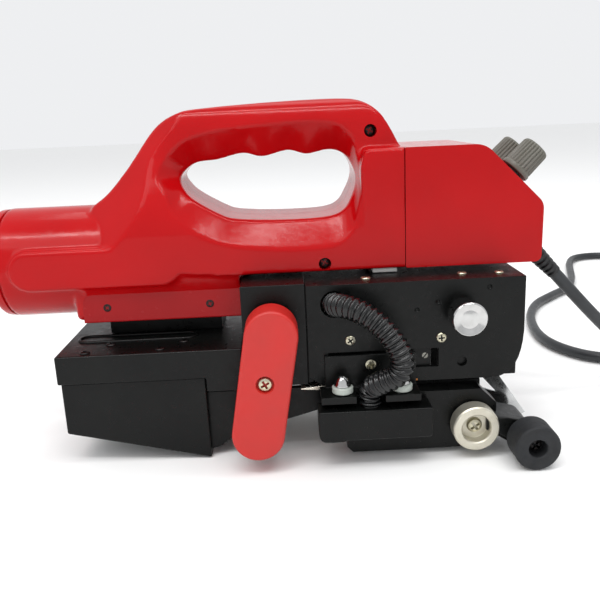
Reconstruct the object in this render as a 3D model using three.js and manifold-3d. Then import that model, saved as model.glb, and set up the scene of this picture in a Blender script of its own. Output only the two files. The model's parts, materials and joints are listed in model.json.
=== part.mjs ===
// Hot-wedge welding machine for plastic liner, with a loop handle over a horizontal motor barrel,
// a control box with two knobs, a folded steel frame, a press lever, a heated wedge on a slide and
// a mains lead. Millimetres, +Z up, +X towards the control box, -Y towards the operator's side.
// The origin is on the floor, under the middle of the machine's own box without the lead.
import * as THREE from 'three';
import { mergeVertices } from 'three/addons/utils/BufferGeometryUtils.js';
import Module from 'manifold-3d';

const wasm = await Module();
wasm.setup();

// ---- driving dimensions -------------------------------------------------------------------
const GAP = 0.3; // between pieces that touch
const SHEET = 2; // folded steel
const CENTRE_SHIFT = 1.52; // moves the middle of the machine over the origin
const MID_Y = 15; // middle plane of the handle, the barrel and the control box
const HALF_WIDTH = 33; // half the width of the moulded housing
const WALL = 2.5; // moulded wall

const BARREL = { radius: 30, z: 102, left: -143, capEnd: -150 };
const HOUSING = { bottom: 95.3, top: 157, seamX: 69.7, shoulderX: 47, gripHalfWidth: 18.5 };
const COVER = { left: 70, right: 141.5, slopeX: 110, slopeZ: 127, knobSpread: 17 };
const SKIRT = { left: -102, right: -17, bottom: 72, top: 88.5, halfWidth: 28 };

const FRAME = { left: -16.2, split: 16.6, right: 127.5, bottom: 39, top: 92.3, near: -36, far: 45 };
const GEARBOX = { left: -112.8, right: -17, bottom: 46, top: 61.3 };
const LOWER_BOX = { left: -112, right: -37, top: 45.7, lowLeft: 17.6, near: -33 };
const SLOT = { left: 27, right: 83.5, bottom: 46.5, top: 56.5 };

const PIVOT = { x: -5.5, z: 48.6 }; // press lever and its cam shaft
const LEVER = { length: 78.2, width: 26.4, near: -56, far: -38.7, lean: 10, centre: -1.8 };
const JOURNAL = { radius: 6, throw: 2, halfLength: 20 }; // off-centre seat of the press roller
const PRESS_RADIUS = 9;
const DRIVE_RADIUS = 12;
const SPROCKET = { radius: 8.5, upperZ: 106, y: 38, thickness: 3 };

const BLOCK = { left: 20, right: 77, bottom: 16.3, top: 32, near: -55, far: -41.5 };
const BRACKET = { left: 24.8, right: 71.6, top: 55.5, tabTop: 38.7, tabBottom: 35, near: -52.5 };
const STUDS = [33, 62.8]; // x of the two studs that carry the heater block
const WASHER = { y: -46, radius: 5.4, height: 3.6 };
const CONDUIT = { radius: 6, x: 46.6, y: -47, holeX: 30.6, holeZ: 82.2 };
const ADJUSTER = { x: 95, z: 76, radius: 8.4, near: -54, far: -42 };
const CARRIAGE_BAR = { left: 27, right: 80, far: -30 };

const WHEEL = { x: 100.4, z: 16.7, radius: 11.9, near: -50, width: 9 };
const ROLLER = { x: 126.8, farX: 112, radius: 11.5, near: -65, width: 15 };
const CARRIER = { left: 35, right: 113, near: -40, bottom: 2.5, top: 34.6 };
const ARM_TOP = 36;

const KNOB = { radius: 8.2, length: 17, standoff: 2.8 };
const SWITCH = { y: 35, z: 113.5, pivotX: 137.6, rockerRadius: 6.9, right: 144 };
const CORD_RADIUS = 3.6;
const COIL = { x: 312, y: 134, inner: 34, outer: 50, height: 29.5 };

// ---- colours --------------------------------------------------------------------------------
const finish = (color, roughness, metalness = 0) =>
  new THREE.MeshStandardMaterial({ color, roughness, metalness });
const RED = finish(0xb3161a, 0.2);
const LEVER_RED = finish(0xcf3b34, 0.45);
const BLACK_STEEL = finish(0x2b2c2b, 0.45, 0.2);
const BLACK_PLASTIC = finish(0x1d1e20, 0.5);
const GREY_PLASTIC = finish(0x6e6c60, 0.5);
const RUBBER = finish(0x26272a, 0.7);
const ZINC = finish(0xc8c4a8, 0.35, 1);
const CHROME = finish(0xd8d8d6, 0.1, 1);
const STEEL = finish(0xa5a6a4, 0.35, 1);
const ALUMINIUM = finish(0xb5afa0, 0.4, 1);
const CERAMIC = finish(0xa8afa8, 0.5);
const COPPER = finish(0xb87540, 0.35, 1);
const NYLON = finish(0xe8e8e4, 0.5);
const BOARD = finish(0x2f5a3a, 0.6);

// ---- solids -----------------------------------------------------------------------------------
function toSolid(geometry) {
  geometry.deleteAttribute('normal');
  geometry.deleteAttribute('uv');
  const merged = mergeVertices(geometry, 1e-4);
  return new wasm.Manifold(
    new wasm.Mesh({
      numProp: 3,
      vertProperties: new Float32Array(merged.attributes.position.array),
      triVerts: new Uint32Array(merged.index.array),
    }),
  );
}

function toGeometry(solid) {
  const mesh = solid.getMesh();
  const geometry = new THREE.BufferGeometry();
  geometry.setAttribute('position', new THREE.BufferAttribute(mesh.vertProperties, 3));
  geometry.setIndex(new THREE.BufferAttribute(mesh.triVerts, 1));
  return geometry;
}

// A box from its lowest to its highest corner.
function block([x0, y0, z0], [x1, y1, z1]) {
  const box = new THREE.BoxGeometry(x1 - x0, y1 - y0, z1 - z0);
  return toSolid(box.translate((x0 + x1) / 2, (y0 + y1) / 2, (z0 + z1) / 2));
}

// The outline runs anticlockwise, so that holes and round edges turn the right way.
function anticlockwise(shape, curveSegments) {
  const { shape: outline, holes } = shape.extractPoints(curveSegments);
  if (THREE.ShapeUtils.isClockWise(outline)) outline.reverse();
  const turned = new THREE.Shape(outline);
  turned.holes = holes.map((hole) => new THREE.Path(hole));
  return turned;
}

// A flat shape drawn in X and Z, with its thickness along Y. round is the radius of its edges.
function plate(shape, y0, y1, round = 0, curveSegments = 6) {
  const extruded = new THREE.ExtrudeGeometry(anticlockwise(shape, curveSegments), {
    depth: y1 - y0 - 2 * round,
    bevelEnabled: round > 0,
    bevelSize: round,
    bevelThickness: round,
    bevelOffset: -round,
    bevelSegments: 2,
  });
  return toSolid(extruded.rotateX(Math.PI / 2).translate(0, y1 - round, 0));
}

function polygon(points) {
  return new THREE.Shape(points.map(([x, z]) => new THREE.Vector2(x, z)));
}

function circle(x, z, radius) {
  return new THREE.Path().absarc(x, z, radius, 0, 2 * Math.PI, false);
}

// A bar with round ends, drawn in X and Z.
function stadium(x, z, length, width) {
  const reach = (length - width) / 2;
  const shape = new THREE.Shape();
  shape.absarc(x + reach, z, width / 2, -Math.PI / 2, Math.PI / 2, false);
  shape.absarc(x - reach, z, width / 2, Math.PI / 2, (3 * Math.PI) / 2, false);
  return shape;
}

// A turned piece: profile is [radius, distance] along an axis that starts on it and ends on it.
function turned(profile, segments = 20) {
  const points = profile.map(([radius, distance]) => new THREE.Vector2(radius, distance));
  return new THREE.LatheGeometry(points, segments);
}

// Turned about an axis along Y, through x and z, with distance 0 at y0 and growing towards +Y.
const turnedY = (profile, x, y0, z, segments) =>
  toSolid(turned(profile, segments).translate(x, y0, z));
const turnedX = (profile, x0, y, z, segments) =>
  toSolid(turned(profile, segments).rotateZ(-Math.PI / 2).translate(x0, y, z));
const turnedZ = (profile, x, y, z0, segments) =>
  toSolid(turned(profile, segments).rotateX(Math.PI / 2).translate(x, y, z0));

const rod = (radius, length) => [[0, 0], [radius, 0], [radius, length], [0, length]];
const rodY = (radius, x, y0, y1, z, segments) => turnedY(rod(radius, y1 - y0), x, y0, z, segments);
const rodX = (radius, x0, x1, y, z, segments) => turnedX(rod(radius, x1 - x0), x0, y, z, segments);
const rodZ = (radius, x, y, z0, z1, segments) => turnedZ(rod(radius, z1 - z0), x, y, z0, segments);

const join = (...solids) => solids.reduce((whole, solid) => whole.add(solid));
const cut = (solid, ...tools) => tools.reduce((rest, tool) => rest.subtract(tool), solid);

// ---- the assembly -----------------------------------------------------------------------------
const machine = new THREE.Group();

function part(name, solid, material) {
  const mesh = new THREE.Mesh(toGeometry(solid), material);
  mesh.name = name;
  machine.add(mesh);
  return mesh;
}

// ---- moulded housing ----------------------------------------------------------------------------
const NEAR_SIDE = MID_Y - HALF_WIDTH;
const FAR_SIDE = MID_Y + HALF_WIDTH;

function loopProfile() {
  const shape = new THREE.Shape();
  shape.moveTo(HOUSING.seamX, HOUSING.bottom);
  shape.lineTo(-19, HOUSING.bottom);
  shape.quadraticCurveTo(-48, HOUSING.bottom, -69, 104.7);
  shape.lineTo(-96, 112);
  shape.lineTo(-94.9, 132.2);
  shape.quadraticCurveTo(-80, 140, -66, 162.4);
  shape.quadraticCurveTo(-56, 178.5, -37.4, 180);
  shape.lineTo(13, 182.5);
  shape.lineTo(40, 182.7);
  shape.quadraticCurveTo(58, 181, 64.9, 166.6);
  shape.lineTo(70, 157);
  shape.lineTo(HOUSING.seamX, HOUSING.bottom);
  const opening = new THREE.Path();
  opening.moveTo(-45.8, 146.3);
  opening.quadraticCurveTo(-36, 155.5, -26.4, 154.8);
  opening.lineTo(38, 156);
  opening.quadraticCurveTo(45, 154, 46.1, 139.8);
  opening.quadraticCurveTo(43, 123.5, 28.9, 122.6);
  opening.lineTo(-17, 122.6);
  opening.quadraticCurveTo(-36, 127, -45.8, 140.5);
  opening.closePath();
  shape.holes.push(opening);
  return shape;
}

// Seen from the end, the housing narrows upwards from its full width to the grip's width.
function endTaper() {
  const grip = HOUSING.gripHalfWidth;
  const shape = new THREE.Shape();
  shape.moveTo(MID_Y - HALF_WIDTH, 90);
  shape.lineTo(MID_Y + HALF_WIDTH, 90);
  shape.lineTo(MID_Y + HALF_WIDTH, 122);
  shape.quadraticCurveTo(MID_Y + HALF_WIDTH, 140, MID_Y + grip, 158);
  shape.lineTo(MID_Y + grip, 173);
  shape.lineTo(MID_Y + grip - 9, 184);
  shape.lineTo(MID_Y - grip + 9, 184);
  shape.lineTo(MID_Y - grip, 173);
  shape.lineTo(MID_Y - grip, 158);
  shape.quadraticCurveTo(MID_Y - HALF_WIDTH, 140, MID_Y - HALF_WIDTH, 122);
  const extruded = new THREE.ExtrudeGeometry(shape, {
    depth: 300,
    bevelEnabled: false,
    curveSegments: 5,
  });
  return toSolid(extruded.rotateX(Math.PI / 2).rotateZ(Math.PI / 2).translate(-150, 0, 0));
}

function housing() {
  const barrelProfile = rod(BARREL.radius, 95);
  const barrel = turnedX(barrelProfile, BARREL.left, MID_Y, BARREL.z, 36);
  const loop = plate(loopProfile(), NEAR_SIDE, FAR_SIDE, 4, 5).intersect(endTaper());
  const pad = plate(stadium(-95, BARREL.z, 84, 21.4), NEAR_SIDE, FAR_SIDE, 1.5);
  const shoulder = plate(
    polygon([
      [HOUSING.shoulderX, 100],
      [HOUSING.seamX, 100],
      [HOUSING.seamX, HOUSING.top],
      [HOUSING.shoulderX + 3, HOUSING.top],
      [HOUSING.shoulderX, HOUSING.top - 4],
    ]),
    NEAR_SIDE,
    FAR_SIDE,
    1.5,
  );
  const motorBore = rodX(BARREL.radius - WALL, BARREL.left - 1, -52, MID_Y, BARREL.z, 36);
  const lowRoom = block(
    [-56, NEAR_SIDE + WALL + 2, HOUSING.bottom + WALL],
    [HOUSING.seamX + 1, FAR_SIDE - WALL - 2, 108],
  );
  const tallRoom = block(
    [HOUSING.shoulderX + 5, NEAR_SIDE + WALL + 1, HOUSING.bottom + WALL],
    [HOUSING.seamX + 1, FAR_SIDE - WALL - 1, HOUSING.top - WALL],
  );
  const chainSlot = block([-22, 33, 90], [8, 43, 100]);
  const gearRoom = block([-56, MID_Y - 24, 96], [14, FAR_SIDE - 5, 118]);
  return cut(join(barrel, loop, pad, shoulder), motorBore, lowRoom, tallRoom, chainSlot, gearRoom);
}

const wholeHousing = housing();
const nearHalf = block([-200, -60, 60], [200, MID_Y - GAP / 2, 200]);
const farHalf = block([-200, MID_Y + GAP / 2, 60], [200, 90, 200]);
part('housing_near_shell', wholeHousing.intersect(nearHalf), RED);
part('housing_far_shell', wholeHousing.intersect(farHalf), RED);

function coverProfile(inset) {
  const shape = new THREE.Shape();
  const right = COVER.right - inset;
  const top = HOUSING.top - inset;
  const bottom = HOUSING.bottom + inset;
  const left = COVER.left - (inset ? 1 : 0);
  shape.moveTo(left, bottom);
  shape.lineTo(right - 4, bottom);
  shape.quadraticCurveTo(right, bottom, right, bottom + 4);
  shape.lineTo(right, COVER.slopeZ - 4);
  shape.quadraticCurveTo(right, COVER.slopeZ, right - 3, COVER.slopeZ + 4);
  shape.lineTo(COVER.slopeX + 4, top - 2.5);
  shape.quadraticCurveTo(COVER.slopeX, top, COVER.slopeX - 4, top);
  shape.lineTo(left, top);
  return shape;
}

const slopeNormal = new THREE.Vector3(Math.SQRT1_2, 0, Math.SQRT1_2);
const slopeAngle = Math.PI / 4;
const slopeCentre = { x: 128.2, z: 139.4 };

// A turned piece whose axis stands square on the slope, starting at a height above it.
function onSlope(profile, side, height, segments = 20) {
  const y = MID_Y + side * COVER.knobSpread;
  const geometry = turned(profile, segments)
    .rotateX(Math.PI / 2)
    .rotateY(slopeAngle)
    .translate(
      slopeCentre.x + slopeNormal.x * height,
      y,
      slopeCentre.z + slopeNormal.z * height,
    );
  return toSolid(geometry);
}

function controlCover() {
  const outer = plate(coverProfile(0), NEAR_SIDE, FAR_SIDE, 3, 3);
  const inner = plate(coverProfile(WALL), NEAR_SIDE + WALL, FAR_SIDE - WALL, 0, 3);
  const leadHole = rodX(6.3, 120, 160, MID_Y, 101.5, 16);
  const switchHole = block([130, 27, 105], [150, 43, 122]);
  const shaftHoles = [-1, 1].map((side) => onSlope(rod(4.2, 20), side, -10, 16));
  return cut(outer, inner, leadHole, switchHole, ...shaftHoles);
}
part('control_box_cover', controlCover(), RED);

const capProfile = [[0, 0], [23, 0], [28, 2], [BARREL.radius - 0.4, 6.7], [0, 6.7]];
part('motor_end_cap', turnedX(capProfile, BARREL.capEnd, MID_Y, BARREL.z, 36), RED);

function saddle() {
  const outline = new THREE.Shape();
  outline.moveTo(SKIRT.right, SKIRT.bottom);
  outline.lineTo(SKIRT.right, SKIRT.top);
  outline.lineTo(SKIRT.left + 8, SKIRT.top);
  outline.quadraticCurveTo(SKIRT.left, SKIRT.top, SKIRT.left, SKIRT.top - 8);
  outline.lineTo(SKIRT.left, SKIRT.bottom);
  const body = plate(outline, MID_Y - SKIRT.halfWidth, MID_Y + SKIRT.halfWidth, 1);
  const barrelBed = rodX(BARREL.radius + GAP, -150, -50, MID_Y, BARREL.z, 36);
  const arch = rodX(13, -108, -14, MID_Y, SKIRT.bottom - 4, 24);
  return cut(body, barrelBed, wholeHousing.translate([0, 0, -GAP]), arch);
}
part('motor_saddle', saddle(), RED);

// ---- motor and drive ------------------------------------------------------------------------------
part('motor_can', rodX(25, -138, -70, MID_Y, BARREL.z, 28), STEEL);
part('motor_gearhead', join(
  rodX(22, -69.7, -30, MID_Y, BARREL.z, 24).intersect(block([-70, -15, 98.5], [-30, 45, 116])),
  block([-30.3, MID_Y - 12, 98.5], [4, 34.5, 116]),
), ALUMINIUM);

const pressZ = PIVOT.z - JOURNAL.throw;
const driveZ = pressZ - PRESS_RADIUS - 0.4 - DRIVE_RADIUS;

function sprocket(z, hubRadius) {
  const teeth = 12;
  const outline = new THREE.Shape();
  for (let i = 0; i < 2 * teeth; i += 1) {
    const angle = (Math.PI * i) / teeth;
    const radius = i % 2 ? SPROCKET.radius - 1.6 : SPROCKET.radius;
    const x = PIVOT.x + radius * Math.cos(angle);
    const height = z + radius * Math.sin(angle);
    if (i) outline.lineTo(x, height);
    else outline.moveTo(x, height);
  }
  outline.holes.push(circle(PIVOT.x, z, hubRadius));
  return plate(outline, SPROCKET.y - SPROCKET.thickness / 2, SPROCKET.y + SPROCKET.thickness / 2);
}
const upperShaft = rodY(3, PIVOT.x, 34.8, 42, SPROCKET.upperZ, 16);
part('upper_sprocket', join(sprocket(SPROCKET.upperZ, 2), upperShaft), STEEL);
part('lower_sprocket', sprocket(driveZ, 4.3), STEEL);

function chain() {
  const run = SPROCKET.upperZ - driveZ;
  const middle = (SPROCKET.upperZ + driveZ) / 2;
  const upright = (width) => {
    const shape = new THREE.Shape();
    shape.absarc(PIVOT.x, middle + run / 2, width / 2, 0, Math.PI, false);
    shape.absarc(PIVOT.x, middle - run / 2, width / 2, Math.PI, 2 * Math.PI, false);
    return shape;
  };
  const outline = upright(2 * SPROCKET.radius + 5);
  outline.holes.push(upright(2 * SPROCKET.radius + 1));
  return plate(outline, SPROCKET.y - 2.5, SPROCKET.y + 2.5, 0, 8);
}
part('drive_chain', chain(), STEEL);

const driveProfile = [
  [0, 0], [4, 0], [4, 6.5], [DRIVE_RADIUS, 6.5], [DRIVE_RADIUS, 59], [4, 59], [4, 70], [0, 70],
];
part('drive_roller', turnedY(driveProfile, PIVOT.x, -31, driveZ, 24), STEEL);

// The press roller runs on an off-centre journal of the lever's shaft, so that turning the
// lever lifts the roller off the liner.
const pressProfile = [
  [JOURNAL.radius + 0.1, 0], [PRESS_RADIUS, 0], [PRESS_RADIUS, 2 * JOURNAL.halfLength - 1],
  [JOURNAL.radius + 0.1, 2 * JOURNAL.halfLength - 1], [JOURNAL.radius + 0.1, 0],
];
part('press_roller', turnedY(pressProfile, PIVOT.x, 0.5 - JOURNAL.halfLength, pressZ, 24), RUBBER);
part('cam_shaft', join(
  rodY(3.9, PIVOT.x, LEVER.far + GAP, 34, PIVOT.z, 16),
  rodY(JOURNAL.radius, PIVOT.x, -JOURNAL.halfLength, JOURNAL.halfLength, pressZ, 24),
), STEEL);

// ---- press lever ----------------------------------------------------------------------------------
function lever() {
  const bar = stadium(LEVER.centre, 0, LEVER.length, LEVER.width);
  const body = plate(bar, LEVER.near, LEVER.far, 1, 10);
  const screwSeat = turnedY([[0, 0], [3.9, 0], [3.9, 3], [2.4, 4.6], [2.4, 8], [0, 8]], 0,
    LEVER.near - 0.5, 0, 16);
  return cut(body, screwSeat)
    .rotate([0, -(90 - LEVER.lean), 0])
    .translate([PIVOT.x, 0, PIVOT.z]);
}
part('press_lever', lever(), LEVER_RED);
const leverScrewProfile = [[0, 0], [3.6, 0.4], [3.6, 2.2], [2.1, 3.8], [2.1, 7], [0, 7]];
part('lever_screw', turnedY(leverScrewProfile, PIVOT.x, LEVER.near, PIVOT.z, 16), ZINC);

// ---- upper frame ----------------------------------------------------------------------------------
function frontPlate() {
  const shape = new THREE.Shape();
  const { split, right, bottom, top } = FRAME;
  const corner = 15;
  shape.moveTo(split + 7, bottom);
  shape.lineTo(right - corner, bottom);
  shape.quadraticCurveTo(right - 1, bottom + 1, right, bottom + corner + 10);
  shape.lineTo(right, top);
  shape.lineTo(split, top);
  shape.lineTo(split, bottom + 5);
  shape.closePath();
  const slot = new THREE.Path();
  slot.moveTo(SLOT.left, SLOT.bottom);
  slot.lineTo(SLOT.right, SLOT.bottom);
  slot.lineTo(SLOT.right, SLOT.top);
  slot.lineTo(SLOT.left, SLOT.top);
  slot.closePath();
  shape.holes.push(slot, circle(CONDUIT.holeX, CONDUIT.holeZ, CONDUIT.radius + 0.9), circle(95.7, 48.6, 2.6));
  shape.holes.push(circle(ADJUSTER.x, ADJUSTER.z, 3.6));
  return plate(shape, FRAME.near, FRAME.near + SHEET, 0, 8);
}
const topPlate = block(
  [FRAME.split, FRAME.near + 1, FRAME.top - SHEET],
  [FRAME.right, FRAME.far - SHEET - GAP, FRAME.top],
);
part('upper_frame_cover', join(frontPlate(), topPlate), BLACK_STEEL);

function leftPlate() {
  const right = FRAME.split - GAP;
  const top = FRAME.top + 1.2;
  const front = cut(
    block([FRAME.left, FRAME.near, FRAME.bottom + 1], [right, FRAME.near + SHEET, top]),
    rodY(4.4, PIVOT.x, -50, 0, PIVOT.z, 20),
  );
  const upper = block([FRAME.left, FRAME.near, top - SHEET], [right, FRAME.far - SHEET - GAP, top]);
  const chainSlot = block([-22, 33, 85], [8, 43.5, 100]);
  return cut(join(front, upper), chainSlot);
}
part('left_side_plate', leftPlate(), BLACK_STEEL);

function backPlate() {
  const outline = polygon([
    [FRAME.left, FRAME.bottom + 1], [20, FRAME.bottom + 1], [20, FRAME.bottom],
    [FRAME.right - 3, FRAME.bottom], [FRAME.right - 3, FRAME.top - SHEET - GAP],
    [FRAME.left, FRAME.top - SHEET - GAP],
  ]);
  return plate(outline, FRAME.far - SHEET, FRAME.far);
}
part('frame_back_plate', backPlate(), BLACK_STEEL);

function endPlate() {
  const inner = FRAME.near + SHEET + GAP;
  const side = block([90.6, inner, FRAME.bottom + 0.5], [124.5, inner + SHEET, 89.9]);
  const end = block([122.5, inner, FRAME.bottom + 0.5], [124.5, FRAME.far - SHEET - GAP, 89.9]);
  return cut(join(side, end), rodY(3.6, ADJUSTER.x, -50, 0, ADJUSTER.z, 16));
}
part('frame_end_plate', endPlate(), BLACK_STEEL);

const spacerTop = HOUSING.bottom - GAP;
part('spacer_pad', block([53, -14.6, FRAME.top + GAP], [66, 40, spacerTop]), NYLON);

// ---- gear box and lower box -------------------------------------------------------------------------
function tray(low, high, slots) {
  const outer = block(low, high);
  const room = block(
    [low[0] + SHEET, low[1] + SHEET, low[2] - 1],
    [high[0] + 1, high[1] - SHEET, high[2] - SHEET],
  );
  return cut(outer, room, ...slots);
}
const gearboxSlot = plate(stadium(-72, 0, 62, 5), 0, SHEET * 2)
  .rotate([90, 0, 0])
  .translate([0, -3, GEARBOX.top + 1]);
const gearboxApron = block(
  [LOWER_BOX.right + 0.5, FRAME.near, 38.5],
  [GEARBOX.right, FRAME.near + SHEET, GEARBOX.bottom + 1],
);
part('gear_box_cover', join(tray(
  [GEARBOX.left, FRAME.near, GEARBOX.bottom],
  [GEARBOX.right, FRAME.far, GEARBOX.top],
  [gearboxSlot],
), gearboxApron), BLACK_STEEL);

part('motor_bracket', block([-92, 2, GEARBOX.top + GAP], [-30, 28, SKIRT.bottom - GAP])
  .subtract(rodX(13.3, -108, -14, MID_Y, SKIRT.bottom - 4, 24)
    .intersect(block([-110, -5, SKIRT.bottom - 1], [0, 40, 90]))), BLACK_STEEL);

function lowerBox() {
  const { left, right, top, lowLeft, near } = LOWER_BOX;
  const far = FRAME.far - SHEET;
  const outline = polygon([[left, lowLeft], [right, 0], [right, top], [left, top]]);
  const slope = lowLeft / (right - left);
  const inside = polygon([
    [left + SHEET, lowLeft + SHEET],
    [right + 1, SHEET - slope],
    [right + 1, top + 1],
    [left + SHEET, top + 1],
  ]);
  return cut(plate(outline, near, far), plate(inside, near + SHEET, far - SHEET));
}
part('lower_box', lowerBox(), BLACK_STEEL);

// ---- lower arms ---------------------------------------------------------------------------------------
const ARM_NEAR = LOWER_BOX.near + SHEET + 1.5;
function armProfile() {
  const shape = new THREE.Shape();
  shape.moveTo(-80, 14);
  shape.lineTo(-42, 4);
  shape.quadraticCurveTo(-34, 3, -30, 6.5);
  shape.quadraticCurveTo(-20, 14, 4.5, 18.5);
  shape.lineTo(22, 23.2);
  shape.lineTo(CARRIER.left + 6, 23.2);
  shape.lineTo(CARRIER.left + 8, 14);
  shape.lineTo(CARRIER.right - 6, 14);
  shape.lineTo(CARRIER.right - 6, ARM_TOP);
  shape.lineTo(-80, ARM_TOP);
  shape.closePath();
  shape.holes.push(circle(PIVOT.x, driveZ, 4.05));
  return shape;
}
part('near_arm', plate(armProfile(), ARM_NEAR, ARM_NEAR + 4, 0, 10), BLACK_STEEL);
part('far_arm', plate(armProfile(), 31, 35, 0, 10), BLACK_STEEL);
part('arm_bridge', block([60, ARM_NEAR + 4 + GAP, 15], [80, 30.7, 22]), BLACK_STEEL);

function carrier() {
  const { left, right, bottom, top } = CARRIER;
  const shape = new THREE.Shape();
  shape.moveTo(left + 3, bottom);
  shape.lineTo(right - 4, bottom);
  shape.lineTo(right, bottom + 4);
  shape.lineTo(right, top - 8);
  shape.lineTo(right - 8, top);
  shape.lineTo(left, top);
  shape.lineTo(left, bottom + 3);
  shape.closePath();
  shape.holes.push(circle(WHEEL.x, WHEEL.z, 2.4));
  return plate(shape, CARRIER.near, ARM_NEAR - GAP, 0, 8);
}
part('wheel_carrier', carrier(), BLACK_STEEL);

// ---- wheels ---------------------------------------------------------------------------------------------
const wheelProfile = [
  [2.5, WHEEL.width], [2.5, 6.2], [7.4, 6.2], [7.4, 0], [WHEEL.radius - 0.5, 0],
  [WHEEL.radius, 0.5], [WHEEL.radius, WHEEL.width], [2.5, WHEEL.width],
];
part('guide_wheel', turnedY(wheelProfile, WHEEL.x, WHEEL.near, WHEEL.z, 32), ALUMINIUM);
const wheelScrewProfile = [[0, 0], [3.6, 0.6], [3.9, 2.6], [2.2, 2.6], [2.2, 13], [0, 13]];
part('wheel_screw',
  turnedY(wheelScrewProfile, WHEEL.x, WHEEL.near + 3.3, WHEEL.z, 16), ZINC);

const rollerProfile = [
  [2.5, ROLLER.width], [2.5, 7], [4.6, 7], [4.6, 0], [ROLLER.radius - 0.8, 0],
  [ROLLER.radius, 0.8], [ROLLER.radius, ROLLER.width - 0.8], [ROLLER.radius - 0.8, ROLLER.width],
  [2.5, ROLLER.width],
];
const rollerScrewProfile = [[0, 0], [3.4, 0.6], [3.8, 2.4], [2.2, 2.4], [2.2, 11.6], [0, 11.6]];
const rollerFar = ROLLER.near + ROLLER.width;
part('near_roller',
  turnedY(rollerProfile, ROLLER.x, ROLLER.near, ROLLER.radius, 32), RUBBER);
part('near_roller_screw',
  turnedY(rollerScrewProfile, ROLLER.x, ROLLER.near + 4.3, ROLLER.radius, 16), ZINC);

function rollerArm(x, y0, y1, backX) {
  const shape = new THREE.Shape();
  shape.absarc(x, ROLLER.radius, 7.5, -Math.PI / 2, Math.PI / 4, false);
  shape.lineTo(backX + 8, 31);
  shape.lineTo(backX, 31);
  shape.lineTo(backX, 15);
  shape.closePath();
  return plate(shape, y0, y1, 0, 6);
}
const nearArmFace = rollerFar + 0.5;
part('near_roller_arm', cut(
  join(
    rollerArm(ROLLER.x, nearArmFace, nearArmFace + 4, 114),
    rollerArm(ROLLER.x - 4, nearArmFace + 3.5, ARM_NEAR + 4, 113.5),
    block([CARRIER.right - 5.5, ARM_NEAR, 16], [118, ARM_NEAR + 4, 31]),
  ),
  rodY(2.4, ROLLER.x, nearArmFace - 1, nearArmFace + 2, ROLLER.radius, 16),
), BLACK_STEEL);

const farRollerNear = 49.5;
part('far_roller', turnedY(
  [[2.5, 0], [ROLLER.radius, 0], [ROLLER.radius, ROLLER.width], [2.5, ROLLER.width], [2.5, 0]],
  ROLLER.farX, farRollerNear, ROLLER.radius, 32), RUBBER);
const farAxleEnd = -ROLLER.near;
const farHeadStart = farRollerNear + ROLLER.width + GAP;
part('far_roller_axle', join(
  rodY(2.3, ROLLER.farX, 35 + GAP, farAxleEnd, ROLLER.radius, 16),
  rodY(5, ROLLER.farX, 35 + GAP, farRollerNear - GAP, ROLLER.radius, 16),
  rodY(4, ROLLER.farX, farHeadStart, farAxleEnd, ROLLER.radius, 16),
), ZINC);

// A polished sheet with a V cut in it leads the liner up to the wedge.
function filmGuide() {
  const face = plate(polygon([
    [106, 38.4], [117, 38.4], [136.5, 9.4], [133, 7.6], [104, 25], [104, 28], [120, 22.5],
  ]), -16, -14.5);
  const foot = block([100, ARM_NEAR + 4 + GAP, 24.6], [106.5, -14.5, 27.8]);
  return join(face, foot);
}
part('film_guide', filmGuide(), CHROME);

// ---- heated wedge on its slide --------------------------------------------------------------------------
function wedgeBracket() {
  const { left, right, top, tabTop, tabBottom, near } = BRACKET;
  const back = FRAME.near - GAP;
  const upright = block([left, back - SHEET, tabBottom], [right, back, top]);
  const flange = block([left - 3, near, tabBottom], [right, back, tabTop]);
  const notch = block(
    [CONDUIT.x - 7.2, near - 1, tabBottom - 1],
    [CONDUIT.x + 7.2, -39.5, tabTop + 1],
  );
  const studHoles = STUDS.map((x) => rodZ(2.4, x, WASHER.y, tabBottom - 1, tabTop + 1, 16));
  return cut(join(upright, flange), notch, ...studHoles, rodY(2.3, 48.3, -50, -30, 50, 16));
}
part('wedge_bracket', wedgeBracket(), BLACK_STEEL);

const washerZ = BRACKET.tabTop + GAP;
const nutZ = washerZ + WASHER.height + GAP;
const washerProfile = [
  [2.2, 0], [WASHER.radius, 0], [WASHER.radius, WASHER.height - 0.6],
  [WASHER.radius - 0.6, WASHER.height], [2.2, WASHER.height], [2.2, 0],
];
const nutProfile = [
  [0, 32.3 - nutZ], [1.9, 32.3 - nutZ], [1.9, 0], [3.9, 0], [3.9, 1.4], [3.3, 3.2], [1.9, 4.6],
  [0, 5],
];
STUDS.forEach((x, i) => {
  const side = i ? 'right' : 'left';
  part(`ceramic_washer_${side}`, turnedZ(washerProfile, x, WASHER.y, washerZ, 24), CERAMIC);
  part(`dome_nut_${side}`, turnedZ(nutProfile, x, WASHER.y, nutZ, 20), CHROME);
});

part('heater_block', cut(
  join(
    block([BLOCK.left, BLOCK.near, BLOCK.bottom + 0.8], [BLOCK.right, BLOCK.far, BLOCK.top]),
    block([BLOCK.left, BLOCK.near, BLOCK.bottom - 0.8], [BLOCK.left + 14, BLOCK.far, BLOCK.top]),
  ),
  rodX(3.6, BLOCK.left - 1, BLOCK.right - 5, -48.3, 22, 20),
  rodZ(6.4, CONDUIT.x, CONDUIT.y, BLOCK.top - 4, BLOCK.top + 1, 20),
), BLACK_STEEL);
part('cartridge_heater', rodX(3.3, BLOCK.left + 1, BLOCK.right - 6, -48.3, 22, 20), STEEL);

// The blade lies in the throat between the upper frame and the lower arms.
function wedgeBlade() {
  const bladeBottom = ARM_TOP + 0.3;
  const bladeTop = FRAME.bottom - 0.3;
  const middle = (bladeBottom + bladeTop) / 2;
  return plate(polygon([
    [12, middle - 0.4], [24, bladeBottom], [58, bladeBottom], [58, bladeTop], [24, bladeTop],
    [12, middle + 0.4],
  ]), -35.5, 22);
}
part('heated_wedge', wedgeBlade(), COPPER);

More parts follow.
